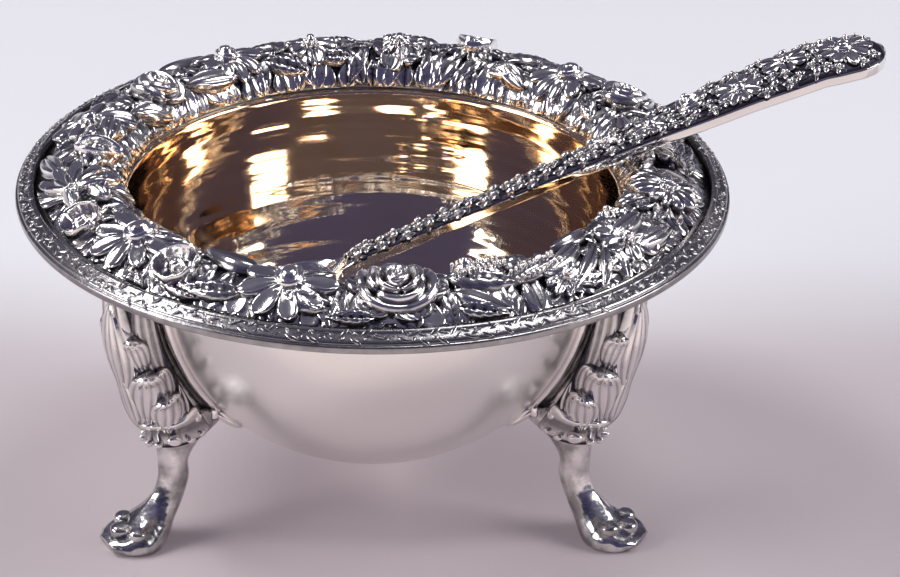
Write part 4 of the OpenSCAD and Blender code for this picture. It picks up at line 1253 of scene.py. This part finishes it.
class OBJECT_OT_salt_stage(bpy.types.Operator):
    """Builds the floor, the lights and the camera"""
    bl_idname = "object.salt_stage"
    bl_label = "Stage"

    def execute(self, context):
        scene, sizes = context.scene, context.scene.salt_studio
        a = np.linspace(0, 2 * np.pi, 96, endpoint=False)
        points = [(sizes.floor_r * math.cos(k), sizes.floor_r * math.sin(k), 0) for k in a]
        mesh = bpy.data.meshes.new("floor")
        mesh.from_pydata(points, [], [list(range(len(points)))])
        floor = bpy.data.objects.new("floor", mesh)
        floor.data.materials.append(paper(scene.salt_finishes))
        scene.collection.objects.link(floor)
        self.lamps(scene)
        self.room(scene)
        self.camera(scene, sizes)
        scene.view_settings.view_transform = "Standard"
        return {"FINISHED"}

    def lamps(self, scene):
        """Soft lamps: name, turn from the front, height angle, distance, width, height, power, colour."""
        rows = [("lamp_left", -80, 24, 0.7, 0.4, 0.16, 2.5, (1, 0.98, 0.97)),
                ("lamp_right", 84, 30, 0.7, 0.36, 0.24, 2.35, (1, 0.985, 0.975)),
                ("lamp_high_left", -112, 56, 0.8, 0.26, 0.2, 1.8, (1, 0.99, 0.98)),
                ("lamp_over", 142, 68, 0.8, 0.26, 0.22, 1.15, (1, 1, 1))]
        for name, turn, rise, far, wide, high, power, tint in rows:
            data = bpy.data.lights.new(name, "AREA")
            data.shape = "RECTANGLE"
            data.size, data.size_y, data.energy, data.color = wide, high, power, tint
            lamp = bpy.data.objects.new(name, data)
            t, e = math.radians(turn), math.radians(rise)
            lamp.location = (far * math.sin(t) * math.cos(e), -far * math.cos(t) * math.cos(e),
                             far * math.sin(e))
            lamp.rotation_euler = lamp.location.to_track_quat("Z", "Y").to_euler()
            scene.collection.objects.link(lamp)

    def room(self, scene):
        """A dark room, lighter at the back and overhead, with pale paper up to a little over the horizon."""
        world = bpy.data.worlds.new("room")
        world.use_nodes = True
        scene.world = world
        tree, finishes = world.node_tree, scene.salt_finishes
        where = add(tree, "ShaderNodeTexCoord", out="Generated")
        ahead, up = (add(tree, "ShaderNodeSeparateXYZ", {0: where}, axis) for axis in "YZ")
        share = add(tree, "ShaderNodeMath", {0: ahead, 1: 0.5, 2: 0.5}, operation="MULTIPLY_ADD")
        wall = ramp(tree, share, [(0.25, tuple(finishes.room_front)), (0.75, tuple(finishes.room_back))])
        upper = mixed(tree, ramp(tree, up, [(0.7, 0.0), (0.95, 1.0)], "EASE"), wall, finishes.ceiling)
        low = ramp(tree, up, [(0.0, 1.0), (0.08, 0.0)], "EASE")
        fill(tree, tree.nodes["Background"], {"Color": mixed(tree, low, upper, finishes.floor_far)})

    def camera(self, scene, sizes):
        """The camera that the photograph's outlines gave, with its small roll."""
        data = bpy.data.cameras.new("camera")
        data.lens, data.sensor_width = sizes.lens, 36
        data.clip_start, data.clip_end = 0.01, 20
        camera = bpy.data.objects.new("camera", data)
        e, a = sizes.elevation, sizes.azimuth
        back = np.array([math.sin(a) * math.cos(e), -math.cos(a) * math.cos(e), math.sin(e)])
        right = np.array([math.cos(a), math.sin(a), 0])
        up = np.cross(back, right)
        target = np.array([0, 0, sizes.target_z])
        place = target + sizes.distance * back
        aim = target + right * sizes.aim_right + up * sizes.aim_up
        direction = (aim - place) / np.linalg.norm(aim - place)
        side = right * math.cos(sizes.roll) + up * math.sin(sizes.roll)
        side -= direction * side.dot(direction)
        side /= np.linalg.norm(side)
        matrix = np.eye(4)
        matrix[:3] = np.stack([side, np.cross(side, direction), -direction, place], 1)
        camera.matrix_world = matrix.T.tolist()
        scene.collection.objects.link(camera)
        scene.camera = camera


class VIEW3D_PT_salt(bpy.types.Panel):
    """Lists the pieces of the salt cellar"""
    bl_idname = "VIEW3D_PT_salt"
    bl_label = "Salt cellar"
    bl_space_type = "VIEW_3D"
    bl_region_type = "UI"
    bl_category = "Salt cellar"

    def draw(self, context):
        for operator in OPERATORS:
            self.layout.operator(operator.bl_idname)
        for name in SETTINGS:
            box = self.layout.box()
            group = getattr(context.scene, name)
            for key in group.bl_rna.properties.keys():
                if key not in ("rna_type", "name"):
                    box.prop(group, key)


SETTINGS = {"salt_bowl": BowlSizes, "salt_border": BorderSizes, "salt_legs": LegSizes,
            "salt_spoon": SpoonSizes, "salt_finishes": Finishes, "salt_studio": StudioSizes}
OPERATORS = (OBJECT_OT_salt_bowl, OBJECT_OT_salt_ground, OBJECT_OT_salt_fringe, OBJECT_OT_salt_leaves,
             OBJECT_OT_salt_blossoms, OBJECT_OT_salt_band, OBJECT_OT_salt_legs, OBJECT_OT_salt_knees,
             OBJECT_OT_salt_spoon, OBJECT_OT_salt_stage)


def register():
    for cls in (*SETTINGS.values(), *OPERATORS, VIEW3D_PT_salt):
        bpy.utils.register_class(cls)
    for name, cls in SETTINGS.items():
        setattr(bpy.types.Scene, name, PointerProperty(type=cls))


def unregister():
    for name in SETTINGS:
        delattr(bpy.types.Scene, name)
    for cls in reversed((*SETTINGS.values(), *OPERATORS, VIEW3D_PT_salt)):
        bpy.utils.unregister_class(cls)


def main():
    """Builds every piece and the stage."""
    register()
    for operator in OPERATORS:
        group, name = operator.bl_idname.split(".")
        getattr(getattr(bpy.ops, group), name)()


if __name__ == "__main__":
    main()
